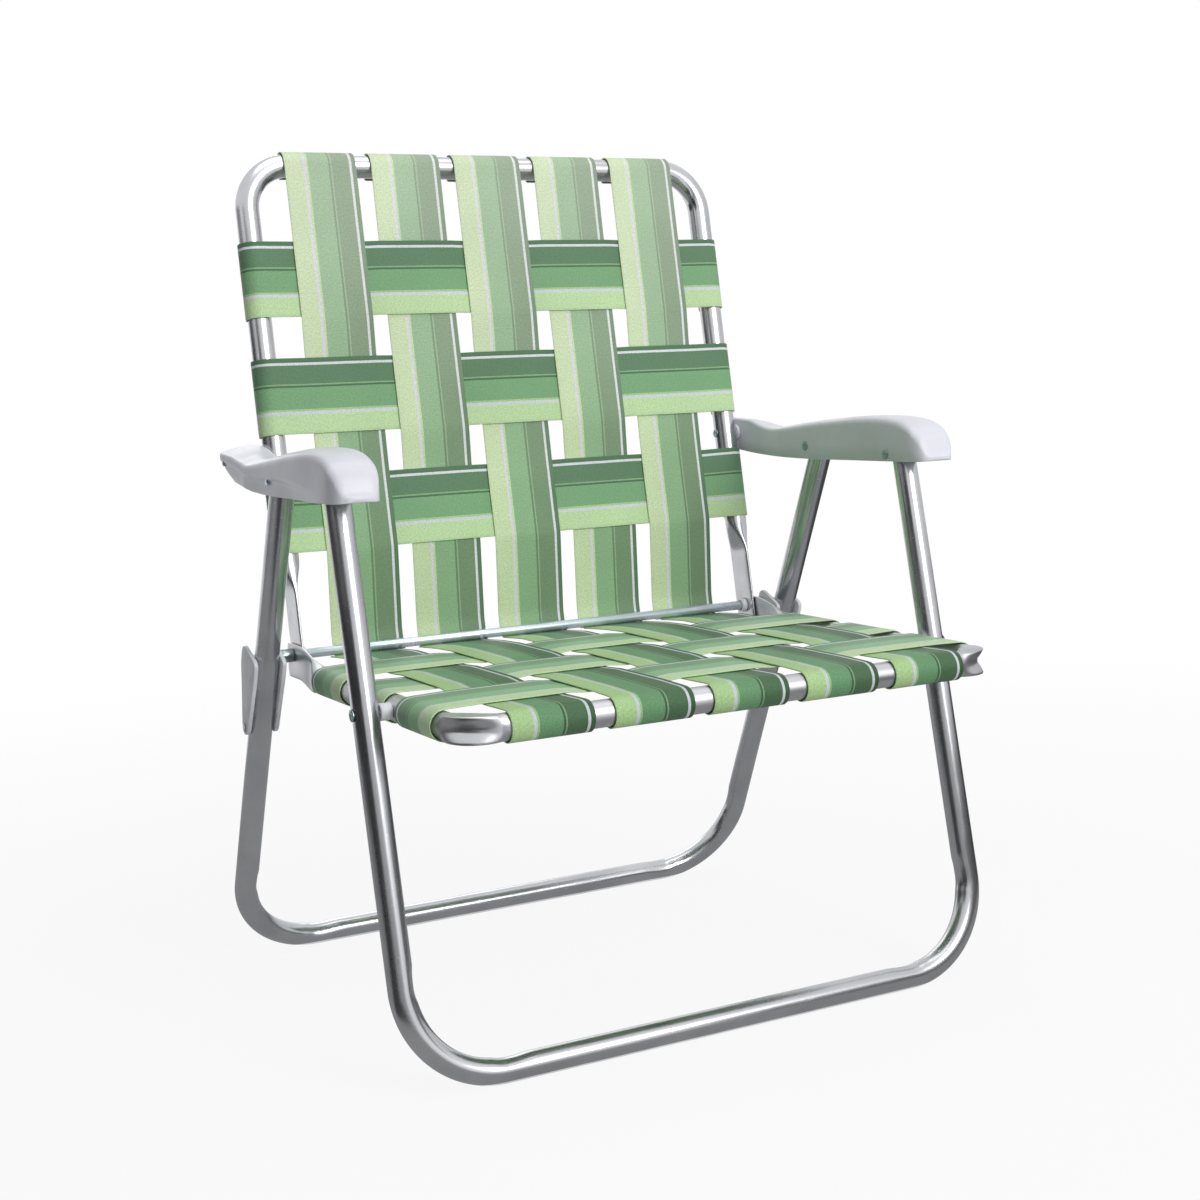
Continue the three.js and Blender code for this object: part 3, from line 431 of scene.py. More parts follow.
def tubePiece(name, axes, shape, section, ends, dents=()):
    # A section carried along a U: centre + wide * cos * outward + deep * sin * out of plane.
    # A dent takes away depth * (1 - way off squared) ** dentPower * (1 - angle off squared)
    s, x, along, turn, straight = bentPath(shape)
    sizes = section(shape, s, along, turn)
    inset = np.array([end[0] for end in ends])
    scale = np.concatenate([[end[1] for end in ends], np.ones(len(s) - 1)])
    pick = lambda values: np.concatenate([np.interp(inset, s, values), values[1:]])
    length = pick(s)
    centre = np.stack([pick(x), pick(along), pick(sizes["out"])], -1)
    slope = np.gradient(sizes["out"], s)
    way = np.stack([pick(np.sin(turn)), pick(np.cos(turn)), pick(slope)], -1)
    way = way / np.linalg.norm(way, axis=-1, keepdims=True)
    up = np.array([0, 0, 1.0]) - way[:, 2:] * way
    up = up / np.linalg.norm(up, axis=-1, keepdims=True)
    outward = np.cross(up, way)
    angle = np.arange(tube["sides"]) * 2 * pi / tube["sides"]
    c, t = superRound(angle[None, :], pick(sizes["power"])[:, None])
    wide = pick(sizes["wide"])[:, None] * c
    deep = pick(sizes["deep"])[:, None] * t
    press = np.ones_like(wide)
    for dent in dents:
        at = straight + dent["at"]
        near = np.clip(1 - ((length[:, None] - at) / dent["length"]) ** 2, 0, 1)
        away = (angle[None, :] - dent["angle"] + pi) % (2 * pi) - pi
        face = np.clip(1 - (away / dent["reach"]) ** 2, 0, 1)
        press = press - dent["depth"] / tube["radius"] * near ** tube["dentPower"] * face
    press = press * scale[:, None]
    half = centre[:, None, :] + (wide * press)[..., None] * outward[:, None, :] \
        + (deep * press)[..., None] * up[:, None, :]
    mirrored = half[::-1][1:] * np.array([-1, 1, 1])
    points = placed(axes, np.concatenate([half, mirrored]))
    u = np.concatenate([length, 2 * length[-1] - length[::-1][1:]])
    v = np.linspace(0, 2 * pi * tube["radius"], tube["sides"] + 1)
    return skin(name, points, u, v)


def roundSection(shape, s, along, turn):
    same, none = np.full_like(s, tube["radius"]), np.zeros_like(s)
    return {"wide": same, "deep": same, "power": none + tube["roundPower"], "out": none}


def pressedSection(shape, s, along, turn):
    # Flat at the lower end and round further up, by a cosine between
    share = np.clip((along - shape["plateEnd"]) / (shape["roundFrom"] - shape["plateEnd"]), 0, 1)
    flat = np.cos(share * pi / 2) ** 2
    return {
        "wide": shape["plateWide"] * flat + tube["radius"] * (1 - flat),
        "deep": shape["plateDeep"] * flat + tube["radius"] * (1 - flat),
        "power": tube["roundPower"] + tube["platePower"] * flat, "out": np.zeros_like(s),
    }


def seatSection(shape, s, along, turn):
    # The rail falls from the rod to its level, and its corners are squarer where they are pressed
    sizes = pressedSection(shape, s, along, turn)
    share = np.clip((along - shape["fallFrom"]) / (shape["fallTo"] - shape["fallFrom"]), 0, 1)
    rise = shape["railDrop"] - shape["plateDrop"]
    bulge = np.sin(2 * turn)
    return {"out": -shape["plateDrop"] - rise * np.sin(share * pi / 2) ** 2,
            "power": sizes["power"] + shape["square"] * bulge,
            "wide": sizes["wide"] + shape["spread"] * bulge,
            "deep": sizes["deep"] + shape["swell"] * bulge}


# Where each dent is past the straight side, its half length, the angle it faces and reaches
legDent = {"length": 0.016, "angle": pi, "reach": 1.3, "depth": 0.0013}
legDents = [{"at": -0.002, **legDent}, {"at": frontTube["bend"] * pi / 2 + 0.004, **legDent}]
cornerDents = [{"at": seatTube["bend"] * pi / 4, "length": 0.030, "angle": 0.0, "reach": 1.02,
                "depth": 0.0072}]

finishPiece(tubePiece("backTube", backAxes, backTube, pressedSection, pressedEnd),
            "back", "polishedTube", "back_frame")
finishPiece(tubePiece("seatTube", seatAxes, seatTube, seatSection, pressedEnd, cornerDents),
            "seat", "brushedTube", "seat_frame")
finishPiece(tubePiece("frontLegTube", frontAxes, frontTube, roundSection, openEnd, legDents),
            "front_legs", "polishedTube", "front_leg_frame")
finishPiece(tubePiece("rearLegTube", rearAxes, rearTube, roundSection, openEnd, legDents),
            "rear_legs", "polishedTube", "rear_leg_frame")
print("tubes made")


# Straps

strap = {
    "width": 0.072, "thickness": 0.0010, "edge": 0.00045, "weave": 0.00085, "margin": 0.0015,
    "overBar": 0.01281, "overRod": 0.00592,  # the middle of the strap from the bar's axis
    "wrap": math.radians(214), "topWrap": math.radians(246), "rodWrap": math.radians(60),
    "rodLead": 0.016, "seatStart": -0.0003, "seatRise": 0.042,
    # spacing of the line's points before and after it is softened, and points of its section
    "fineStep": 0.0005, "soften": 0.0022, "bellReach": 3, "step": 0.003,
    "facePoints": 25, "edgeShares": (0.6, 0.0, -0.6),
}
columnsBack = np.array([-0.1749, -0.08745, 0.0, 0.08745, 0.1749])
columnsSeat = np.array([-0.18005, -0.090025, 0.0, 0.090025, 0.18005])
rowsBack = [0.352, 0.241, 0.130]
sagBack = [0.0010, 0.0028, 0.0055]  # how far the long straps pull each row back
rowsSeat = [0.1172, 0.2162, 0.3152]
arcStep = 0.09


def wrapArc(centre, radius, fromAngle, toAngle):
    # Points of a turn round a bar, angles from the way along
    count = max(3, int(abs(toAngle - fromAngle) / arcStep))
    angle = np.linspace(fromAngle, toAngle, count)
    return np.stack([centre[0] + radius * np.cos(angle), centre[1] + radius * np.sin(angle)], -1)


def overUnder(first, straps, crossings):
    # A row for each strap of over (1) and under (-1) by turns
    return first * (-1) ** np.add.outer(np.arange(len(straps)), np.arange(len(crossings)))


def wovenLine(places, overs, level, forward):
    # Level stretches over and under the crossing straps, at the places given
    half = (strap["width"] / 2 + strap["margin"]) * forward
    at = np.array(places)[:, None] + np.array([-half, half])[None, :]
    out = (level + overs * strap["weave"])[:, None] * np.ones((1, 2))
    return np.stack([at, out], -1).reshape(-1, 2)


def evenLine(line, step):
    length = lengthAlong(line)[-1]
    return pointsAt(line, np.linspace(0, length, int(length / step) + 2))


def softLine(points):
    # Even steps along the points, smoothed, then evened again. The line is turned over at both
    # ends, so that they stay in place
    fine = evenLine(points, strap["fineStep"])
    width = strap["soften"] / strap["fineStep"]
    reach = int(strap["bellReach"] * width)
    before = 2 * fine[0] - fine[reach:0:-1]
    after = 2 * fine[-1] - fine[-2:-reach - 2:-1]
    return evenLine(smoothed(np.concatenate([before, fine, after]), reach, width), strap["step"])


def strapPiece(name, axes, line, lateral, acrossX, darkSide):
    # A flat band with round edges carried along a line: centre + normal * h, w to the side
    path = softLine(line)
    run = lengthAlong(path)
    way = np.gradient(path, run, axis=0)
    way = way / np.linalg.norm(way, axis=1, keepdims=True)
    normal = np.stack([-way[:, 1], way[:, 0]], -1)
    thick = strap["thickness"] / 2
    face = np.linspace(-1, 1, strap["facePoints"]) * (strap["width"] / 2 - strap["edge"])
    lift = thick * np.ones_like(face)
    rim = np.array(strap["edgeShares"])
    rimAt = strap["width"] / 2 - strap["edge"] * (1 - np.sqrt(1 - rim ** 2))
    w = np.concatenate([face, rimAt, face[::-1], -rimAt])
    h = np.concatenate([lift, thick * rim, -lift, -thick * rim])
    # The first and the last row are drawn to a line, which closes the ends
    open_ = np.array([0.0] + [1.0] * len(path) + [0.0])
    rows = np.concatenate([[0], np.arange(len(path)), [len(path) - 1]])
    flat = path[rows][:, None, :] + normal[rows][:, None, :] * (h * open_[:, None])[..., None]
    side = lateral + w[None, :] * np.ones((len(rows), 1))
    x, along = (side, flat[..., 0]) if acrossX else (flat[..., 0], side)
    points = placed(axes, np.stack([x, along, flat[..., 1]], -1))
    # The webbing's stripes read (across, along)
    share = 0.5 - darkSide * w / strap["width"]
    return skin(name, points, run[rows], np.concatenate([share, share[:1]]), True)


def crossLine(halfWidth, level, columns, overs, sag=0.0):
    # Round the outside of both side tubes and woven through the columns between them
    over, quarter = strap["overBar"], pi / 2
    left = wrapArc((-halfWidth, level), over, quarter + strap["wrap"], quarter)
    right = wrapArc((halfWidth, level), over, quarter, quarter - strap["wrap"])
    return np.concatenate([left, wovenLine(columns, overs, level + over - sag, 1), right])


def layStraps(part, kind, axes, laterals, lines, darkSide=1):
    for n, (lateral, line) in enumerate(zip(laterals, lines)):
        piece = strapPiece(f"{part}{kind}Strap{n + 1}", axes, line, lateral, kind == "Long",
                           darkSide)
        finishPiece(piece, part, part + kind, f"{part}_strap_{kind.lower()}_{n + 1}")


def makeBackStraps():
    over, overRod, quarter = strap["overBar"], strap["overRod"], pi / 2
    bar = wrapArc((backTube["height"], 0), over, quarter - strap["topWrap"], quarter)
    end = wrapArc((0, 0), overRod, -quarter, -quarter - strap["rodWrap"])
    rod = np.concatenate([[[strap["rodLead"], -overRod]], end])
    layStraps("back", "Long", backAxes, columnsBack, [
        np.concatenate([bar, wovenLine(rowsBack, overs, over - np.array(sagBack), -1), rod])
        for overs in overUnder(1, columnsBack, rowsBack)])
    layStraps("back", "Cross", backAxes, rowsBack, [
        crossLine(backTube["halfWidth"], 0.0, columnsBack, overs, sag)
        for overs, sag in zip(overUnder(-1, rowsBack, columnsBack), sagBack)])


def makeSeatStraps():
    level, over, quarter = -seatTube["railDrop"], strap["overBar"], pi / 2
    rod = [[strap["seatStart"], -strap["overRod"]],
           [strap["seatRise"], level + over - strap["weave"]]]
    bar = wrapArc((seatTube["height"], level), over, quarter, quarter - strap["wrap"])
    layStraps("seat", "Long", seatAxes, columnsSeat, [
        np.concatenate([rod, wovenLine(rowsSeat, overs, level + over, 1), bar])
        for overs in overUnder(-1, columnsSeat, rowsSeat)])
    layStraps("seat", "Cross", seatAxes, rowsSeat, [
        crossLine(seatTube["halfWidth"], level, columnsSeat, overs)
        for overs in overUnder(1, rowsSeat, columnsSeat)], -1)


makeBackStraps()
makeSeatStraps()
print("straps made")


# Arms

arm = {
    "height": 0.042, "flare": 0.0108, "innerX": 0.2626, "legOuter": 0.29515,
    "wall": 0.0028, "topWall": 0.0032, "crown": 0.0014, "lip": 0.0007,
    "noseFrom": 0.2920, "noseTurn": 0.0100, "noseLimit": 0.995,
    # radius of the upper edges behind and in front of cornerAlong, and its most
    "corner": (0.0032, 0.0075), "cornerAlong": (0.03, 0.13),
    "cornerOfHeight": 0.45, "cornerOfWidth": 0.6, "crownOfCorner": 0.3,
    # where the hollow begins and ends, and over which length it deepens there
    "cavity": (0.018, 0.2900), "cavityRise": 0.008, "cavityFall": 0.010,
    "behindRecess": 0.0012, "leastDepth": 0.0006, "ceilingEdge": 0.003, "ceilingFrom": 0.75,
    # sections along the arm, closer together at its ends, and the points of each
    "sections": 130, "crowding": 0.62, "cornerPoints": 7, "crownPoints": 13,
    "sideShares": np.concatenate([[0.0, 0.02], np.linspace(0.1, 0.94, 15)]),
    "uvSize": (0.33, 0.1),
    # rings that close each end: share of the section kept, and how far it is pushed back
    "rearEnd": [(0.0, 0.0014), (0.7, 0.0013), (0.93, 0.0007)],
    "noseEnd": [(0.9, -0.0008), (0.6, -0.0015), (0.0, -0.0018)],
    # share of the way from the back's pin to the front pin, top, underside, flare
    "profile": [
        (-0.062, 0.270, -0.300, 0.060), (-0.054, 0.318, -0.360, 0.150),
        (-0.026, 0.346, -0.410, 0.270), (0.035, 0.364, -0.440, 0.350),
        (0.103, 0.350, -0.455, 0.390), (0.166, 0.264, -0.460, 0.425),
        (0.240, 0.226, -0.458, 0.462), (0.343, 0.318, -0.440, 0.528),
        (0.470, 0.462, -0.400, 0.620), (0.631, 0.610, -0.330, 0.731),
        (0.804, 0.752, -0.246, 0.870), (0.950, 0.826, -0.178, 0.954),
        (1.036, 0.826, -0.136, 0.991), (1.104, 0.754, -0.102, 1.000),
        (1.154, 0.600, -0.078, 1.000), (1.188, 0.352, -0.060, 1.000),
        (1.202, 0.080, -0.045, 1.000),
    ],
    # share of the way, how far the outer side is recessed, how high up the side the recess
    # ends, how far the top falls to the outer side, how far the lower edge is cut in, and how
    # far it is raised
    "recess": [
        (-0.062, 0.0015, 0.88, 0.0050, 0.0095, 0.0), (-0.020, 0.0018, 0.86, 0.0062, 0.0090, 0.0),
        (0.040, 0.0030, 0.84, 0.0066, 0.0070, 0.0), (0.103, 0.0044, 0.82, 0.0064, 0.0034, 0.0010),
        (0.166, 0.0044, 0.80, 0.0044, 0.0006, 0.0021), (0.200, 0.0034, 0.79, 0.0036, 0.0, 0.0023),
        (0.250, 0.0037, 0.78, 0.0044, 0.0, 0.0014), (0.300, 0.0040, 0.77, 0.0050, 0.0, 0.0008),
        (0.489, 0.0052, 0.72, 0.0052, 0.0, 0.0), (0.650, 0.0055, 0.62, 0.0044, 0.0, 0.0),
        (0.800, 0.0045, 0.48, 0.0034, 0.0, 0.0), (0.930, 0.0022, 0.36, 0.0022, 0.0, 0.0),
        (1.050, 0.0, 0.34, 0.0010, 0.0, 0.0), (1.202, 0.0, 0.34, 0.0, 0.0, 0.0),
    ],
    "ridgeWidth": 0.22, "cutPower": 1.6,
}
armSpan = places["armBack"][0] - places["armFront"][0]
armFall = places["armFront"][1] - places["armBack"][1]


def softCurve(at, knots, values):
    # A cubic through the knots whose slopes are the mean of the neighbouring ones
    slope = np.gradient(values, knots)
    n = np.clip(np.searchsorted(knots, at) - 1, 0, len(knots) - 2)
    width = knots[n + 1] - knots[n]
    t = (at - knots[n]) / width
    return ((2 * t ** 3 - 3 * t ** 2 + 1) * values[n] + (t ** 3 - 2 * t ** 2 + t) * width * slope[n]
            + (3 * t ** 2 - 2 * t ** 3) * values[n + 1] + (t ** 3 - t ** 2) * width * slope[n + 1])


def armEdges(along):
    # Heights of the top and the underside from the back's pin, and x of the outer side
    share, top, under, flare = np.array(arm["profile"]).T
    lines = (top * arm["height"] + share * armFall, under * arm["height"] + share * armFall,
             arm["legOuter"] + flare * arm["flare"])
    return [softCurve(along, share * armSpan, line)[:, None] for line in lines]


def armRecess(along, up):
    # How far in the outer side lies at its lower edge and at shares up of its height, the fall
    # of the top and the rise of the lower edge
    share, *columns = np.array(arm["recess"]).T
    deep, ridge, fall, cut, rise = (np.interp(along, share * armSpan, values)[:, None]
                                    for values in columns)
    tuck = deep * (1 - smoothStep(ridge - arm["ridgeWidth"], ridge, up))
    tuck = tuck + cut * np.clip(1 - up / ridge, 0, 1) ** arm["cutPower"]
    return deep + cut, tuck, fall, rise


def armPiece(name, sign):
    # Box sections with a crowned top and round upper edges, hollow from below. The nose turns in
    # by noseTurn * (1 - square root of (1 - way squared)); the outer side is recessed under a ridge
    low, high = arm["profile"][0][0] * armSpan, arm["profile"][-1][0] * armSpan
    t = np.linspace(0, 1, arm["sections"])
    along = low + (high - low) * (t - np.sin(2 * pi * t) / (2 * pi) * arm["crowding"])
    wall, lip, up = arm["wall"], arm["lip"], arm["sideShares"]
    top, under, outer = armEdges(along)
    deep, tuck, fall, rise = armRecess(along, up)
    along = along[:, None]
    way = np.clip((along - arm["noseFrom"]) / (high - arm["noseFrom"]), 0, arm["noseLimit"])
    turnIn = arm["noseTurn"] * (1 - np.sqrt(1 - way ** 2))
    outer, inner = outer - turnIn, arm["innerX"] + turnIn
    middle, halfWide = (inner + outer) / 2, (outer - inner) / 2
    rear, front = arm["corner"]
    corner = rear + (front - rear) * smoothStep(*arm["cornerAlong"], along)
    corner = np.minimum(corner, (top - under) * arm["cornerOfHeight"])
    corner = np.minimum(corner, halfWide * arm["cornerOfWidth"])
    begin, end = arm["cavity"]
    hollow = smoothStep(begin, begin + arm["cavityRise"], along) \
        * (1 - smoothStep(end - arm["cavityFall"], end, along))
    depth = np.clip(top - fall - arm["topWall"] - under, arm["leastDepth"], None) * hollow
    ceiling, foot = under + depth, under + depth * arm["ceilingFrom"]
    wallIn, wallOut = inner + wall, outer - np.maximum(deep + arm["behindRecess"], wall)
    side, lower = top - fall - corner - under, under + rise
    quarter = np.linspace(0, pi / 2, arm["cornerPoints"])
    crownAt = np.linspace(1, -1, arm["crownPoints"])[1:-1]
    crown = np.minimum(arm["crown"], corner * arm["crownOfCorner"])
    # Up the outer side, over the top, down the inner side and back through the hollow
    x = np.concatenate([
        outer - tuck[:, :1] - lip, outer - tuck,
        outer - corner * (1 - np.cos(quarter)),
        middle + (halfWide - corner) * crownAt,
        inner + corner * (1 - np.sin(quarter)),
        inner, inner, inner + lip,
        wallIn - lip, wallIn, wallIn,
        wallIn + arm["ceilingEdge"], middle, wallOut - arm["ceilingEdge"],
        wallOut, wallOut, wallOut + lip,
    ], 1)
    z = np.concatenate([
        lower, lower + np.maximum((side - rise) * up, lip * (up > 0)),
        top - fall - corner + corner * np.sin(quarter),
        top - fall * (1 + crownAt) / 2 + crown * (1 - crownAt ** 2),
        top - corner + corner * np.cos(quarter),
        under + side / 2, under + lip, under,
        under, under + lip * hollow, foot,
        ceiling, ceiling, ceiling,
        np.maximum(foot, lower), lower + lip * hollow, lower,
    ], 1)
    x, y, z = closeArmEnds(x, -along + np.zeros_like(x), z)
    points = np.stack([sign * x, places["armBack"][0] + y, places["armBack"][1] + z], -1)
    return evenSkin(name, points, arm["uvSize"])


def closeArmEnds(x, y, z):
    # Each end shrinks to its middle over a few rings, so that it is blunt and round
    def ring(row, keep, push):
        mx, mz = x[row].mean(), (z[row].max() + z[row].min()) / 2
        return (mx + (x[row] - mx) * keep, y[row] + push, mz + (z[row] - mz) * keep)
    rear = [ring(0, keep, push) for keep, push in arm["rearEnd"]]
    nose = [ring(-1, keep, push) for keep, push in arm["noseEnd"]]
    join = lambda k, body: np.concatenate([[r[k] for r in rear], body, [r[k] for r in nose]])
    return join(0, x), join(1, y), join(2, z)


for name, sign in sideNames.items():
    finishPiece(armPiece("armrest" + name, sign), "armrests", "armPlastic")
print("arms made")


# Turned and moulded hardware

hardware = {
    "pinRadius": 0.0029, "rim": 0.0005, "crown": 0.0013, "domeRings": 14, "domeShare": 0.92,
    # a cross pressed into a head: it fades out over these distances from its arms and middle
    "cross": {"halfWidth": (0.00033, 0.000825), "reach": (0.0024, 0.0030), "depth": 0.0011},
    "sides": 48, "headSides": 64, "sharpFrom": 50, "uvSize": (0.02, 0.03), "bevelShare": 0.4,
    # bevels, and profiles of (radius, x)
    "ringBevel": 0.0005, "nutBevel": 0.0004, "rodBevel": 0.0006, "nutSides": 6,
    "nut": [(0, 0.23535), (0.005, 0.23535), (0.005, 0.23955), (0.0029, 0.23955),
            (0.0029, 0.24135), (0, 0.24135)],
    "rod": [(0, -0.2975), (0.0046, -0.2975), (0.0046, 0.2975), (0, 0.2975)],
}


def turned(name, sign, place, profile, sides=hardware["sides"], cross=None):
    # A profile of (radius, x) turned round a line across the chair; a cross is pressed into the
    # face that the rings from "from" or up to "to" make
    radius, x = np.array(profile).T
    angle = np.arange(sides) * 2 * pi / sides
    r = radius[:, None] * np.ones((1, sides))
    across, up = r * np.cos(angle), r * np.sin(angle)
    along = x[:, None] + 0 * r
    if cross:
        near = np.minimum(np.abs(across), np.abs(up))
        dip = (1 - smoothStep(*cross["halfWidth"], near)) * (1 - smoothStep(*cross["reach"], r))
        rings = np.arange(len(radius))
        face = (rings >= cross.get("from", 0)) & (rings <= cross.get("to", len(radius)))
        along = along - cross["depth"] * dip * face[:, None]
    y, z = places[place]
    points = np.stack([sign * along, y + across, z + up], -1)
    return evenSkin(name, points, hardware["uvSize"], hardware["sharpFrom"])


def beveled(corners, bevel):
    # Cuts each corner of a (radius, x) profile by a short slope
    line = [corners[0]]
    for before, (r, x), after in zip(corners, corners[1:], corners[2:]):
        for other in (before, after):
            t = min(bevel / math.dist((r, x), other), hardware["bevelShare"])
            line.append((r + (other[0] - r) * t, x + (other[1] - x) * t))
    return line + [corners[-1]]


def domed(radius, height, rings):
    # A low dome: x = height * (square root of (1 - (domeShare * way out) squared) - its foot)
    bulge = lambda way: math.sqrt(1 - (hardware["domeShare"] * way) ** 2)
    return [(radius * way, height * (bulge(way) - bulge(1))) for way in np.linspace(1, 0, rings)]


def headEnd(radius, at, facing):
    # A head from its underside to the middle of its dome, facing the way of its sign
    rim = at + facing * hardware["rim"]
    dome = domed(radius, hardware["crown"], hardware["domeRings"])
    return [(radius, at)] + [(r, rim + facing * x) for r, x in dome]


def pinProfile(inner, outer, innerRadius, outerRadius):
    # From the inner end to the outer one; an end of no radius stops blind. Also gives the ring
    # that the outer head starts with
    shank = hardware["pinRadius"]
    first = headEnd(innerRadius, inner, -1)[::-1] + [(shank, inner)] if innerRadius \
        else [(0, inner), (shank, inner)]
    last = [(shank, outer)] + headEnd(outerRadius, outer, 1) if outerRadius \
        else [(shank, outer), (0, outer)]
    return first + last, len(first) + 1


def armOuterAt(place):
    # Where the arm's recessed outer side is at a pin
    y, z = places[place]
    along = np.array([places["armBack"][0] - y])
    top, under, outer = armEdges(along)
    up = (z - places["armBack"][1] - under) / (top - arm["corner"][1] - under)
    return float(outer[0, 0] - armRecess(along, up)[1][0, 0])


# piece, place, body, the inner and outer ends and the radii of their heads
pins = [
    ("armFrontPin", "armFront", "armrests", 0.2623, 0.3015, 0.0047, 0),
    ("armRearPin", "armRear", "armrests", 0.2623, armOuterAt("armRear") + 0.0020, 0.0047, 0.0043),
    ("backPivotBolt", "armBack", "back", 0.2360, armOuterAt("armBack") + 0.0014, 0.0044, 0.0030),
    ("seatPivotBolt", "seatPivot", "front_legs", 0.2627, 0.29575, 0, 0.0052),
]
# piece, place, body, look, slot, the inner and outer ends, the radii of the hole and those ends
rings = [
    ("armWasher", "armBack", "back", "linkPlastic", "white_plastic",
     0.2591, 0.2623, 0.0032, 0.008, 0.008),
    ("seatSpacer", "seatPivot", "front_legs", "linkPlastic", "white_plastic",
     0.2627, 0.2726, 0.0032, 0.0072, 0.0072),
    ("rodBush", "rod", "back", "linkPlastic", "white_plastic",
     0.24055, 0.24575, 0.0049, 0.0062, 0.0076),
    ("rodSleeve", "rod", "back", "zincSteel", "zinc_steel",
     0.2532, 0.26825, 0.0049, 0.0065, 0.0065),
]


def makeFasteners(side, sign):
    cross = hardware["cross"]
    for name, place, body, inner, outer, innerRadius, outerRadius in pins:
        profile, start = pinProfile(inner, outer, innerRadius, outerRadius)
        # The cross is in the inner head, or in the outer one of a bolt that has no inner head
        pressed = {**cross, "to": hardware["domeRings"] - 2, "depth": -cross["depth"]} \
            if innerRadius else {**cross, "from": start}
        pin = turned(name + side, sign, place, profile, hardware["headSides"], pressed)
        finishPiece(pin, body, "zincSteel")
    for name, place, body, look, slot, inner, outer, hole, innerRadius, outerRadius in rings:
        corners = [(hole, inner), (innerRadius, inner), (outerRadius, outer), (hole, outer),
                   (hole, inner)]
        ring = turned(name + side, sign, place, beveled(corners, hardware["ringBevel"]))
        finishPiece(ring, body, look)
    nut = turned("seatNut" + side, sign, "seatPivot",
                 beveled(hardware["nut"], hardware["nutBevel"]), hardware["nutSides"])
    finishPiece(nut, "seat", "zincSteel")


for name, sign in sideNames.items():
    makeFasteners(name, sign)
rod = turned("pivotRod", 1, "rod", beveled(hardware["rod"], hardware["rodBevel"]))
finishPiece(rod, "back", "zincRod")
print("hardware made")


# Rear links

link = {
    "footRadius": 0.0076, "footPoints": 25, "frontReach": 0.012, "rearReach": 0.0259,
    "top": 0.0769, "shoulder": 0.0529, "corner": 0.005, "middle": (0.005, 0.04),
    "inner": (0.2686, 0.2726), "outer": (0.2955, 0.2995), "bevel": 0.0009, "bevelStep": 0.3,
    "points": 160, "bellReach": 6, "bellWidth": 2.2, "sharpFrom": 40, "uvSize": (0.01, 0.2),
    "rivet": {"shank": 0.0024, "radius": 0.0042, "gap": 0.0003, "crown": 0.0009, "rings": 8},
}


def linkOutline():
    # Round at the rivet, wide at the rod: a closed line in the rear leg's plane
    front, rear, top, corner = (link[key] for key in ("frontReach", "rearReach", "top", "corner"))
    foot = np.linspace(0, -pi, link["footPoints"])
    line = np.concatenate([
        np.stack([link["footRadius"] * np.cos(foot), link["footRadius"] * np.sin(foot)], -1),
        [[-front, link["shoulder"]]],
        wrapArc((-front + corner, top - corner), corner, pi, pi / 2),
        wrapArc((rear - corner, top - corner), corner, pi / 2, 0),
        [[rear, link["shoulder"] + corner]],
    ])
    closed = np.concatenate([line, line[:1]])
    even = pointsAt(closed, np.linspace(0, lengthAlong(closed)[-1], link["points"],
                                        endpoint=False))
    reach = link["bellReach"]
    return smoothed(np.concatenate([even[-reach:], even, even[:reach]]), reach, link["bellWidth"])


def linkPiece(name, sign, layer):
    # The outline carried through the plate's thickness, drawn in at both faces
    outline = linkOutline()
    middle = np.array(link["middle"])
    low, high = link[layer]
    cut, step = link["bevel"], link["bevel"] * link["bevelStep"]
    # x of each ring, and how far it is drawn in; None draws it to the middle
    rings = [(low, None), (low, cut), (low + step, step), (low + cut, 0.0),
             (high - cut, 0.0), (high - step, step), (high, cut), (high, None)]
    reach = outline - middle
    size = np.linalg.norm(reach, axis=1, keepdims=True)
    flat = np.stack([middle + reach * (0.0 if inset is None else 1 - inset / size)
                     for _, inset in rings])
    x = np.array([ring[0] for ring in rings])[:, None] * np.ones((1, len(outline)))
    # The outline's own axes run the other way than the leg's
    axes = {**rearAxes, "at": places["linkRivet"]}
    points = placed(axes, np.stack([sign * x, -flat[..., 1], -flat[..., 0]], -1))
    return evenSkin(name, points, link["uvSize"], link["sharpFrom"])


def rivetProfile(layer):
    # Through the plate, with its head a small gap off the face that is open to view
    rivet, (low, high) = link["rivet"], link[layer]
    shank, radius, gap = rivet["shank"], rivet["radius"], rivet["gap"]
    facing = 1 if layer == "outer" else -1
    start, face = (low, high) if facing > 0 else (high, low)
    end = face + facing * gap
    dome = domed(radius, rivet["crown"], rivet["rings"])
    return [(0, start), (shank, start), (shank, end), (radius, end),
            (radius, end + facing * gap)] + [(r, end + facing * (gap + x)) for r, x in dome]


for name, sign in sideNames.items():
    for layer in ("inner", "outer"):
        title = layer.title() + name
        plate = linkPiece("rearLink" + title, sign, layer)
        finishPiece(plate, "rear_links", "linkPlastic")
        rivet = turned("linkRivet" + title, sign, "linkRivet", rivetProfile(layer))
        finishPiece(rivet, "rear_links", "zincSteel")
print("links made")


# Room, light and camera

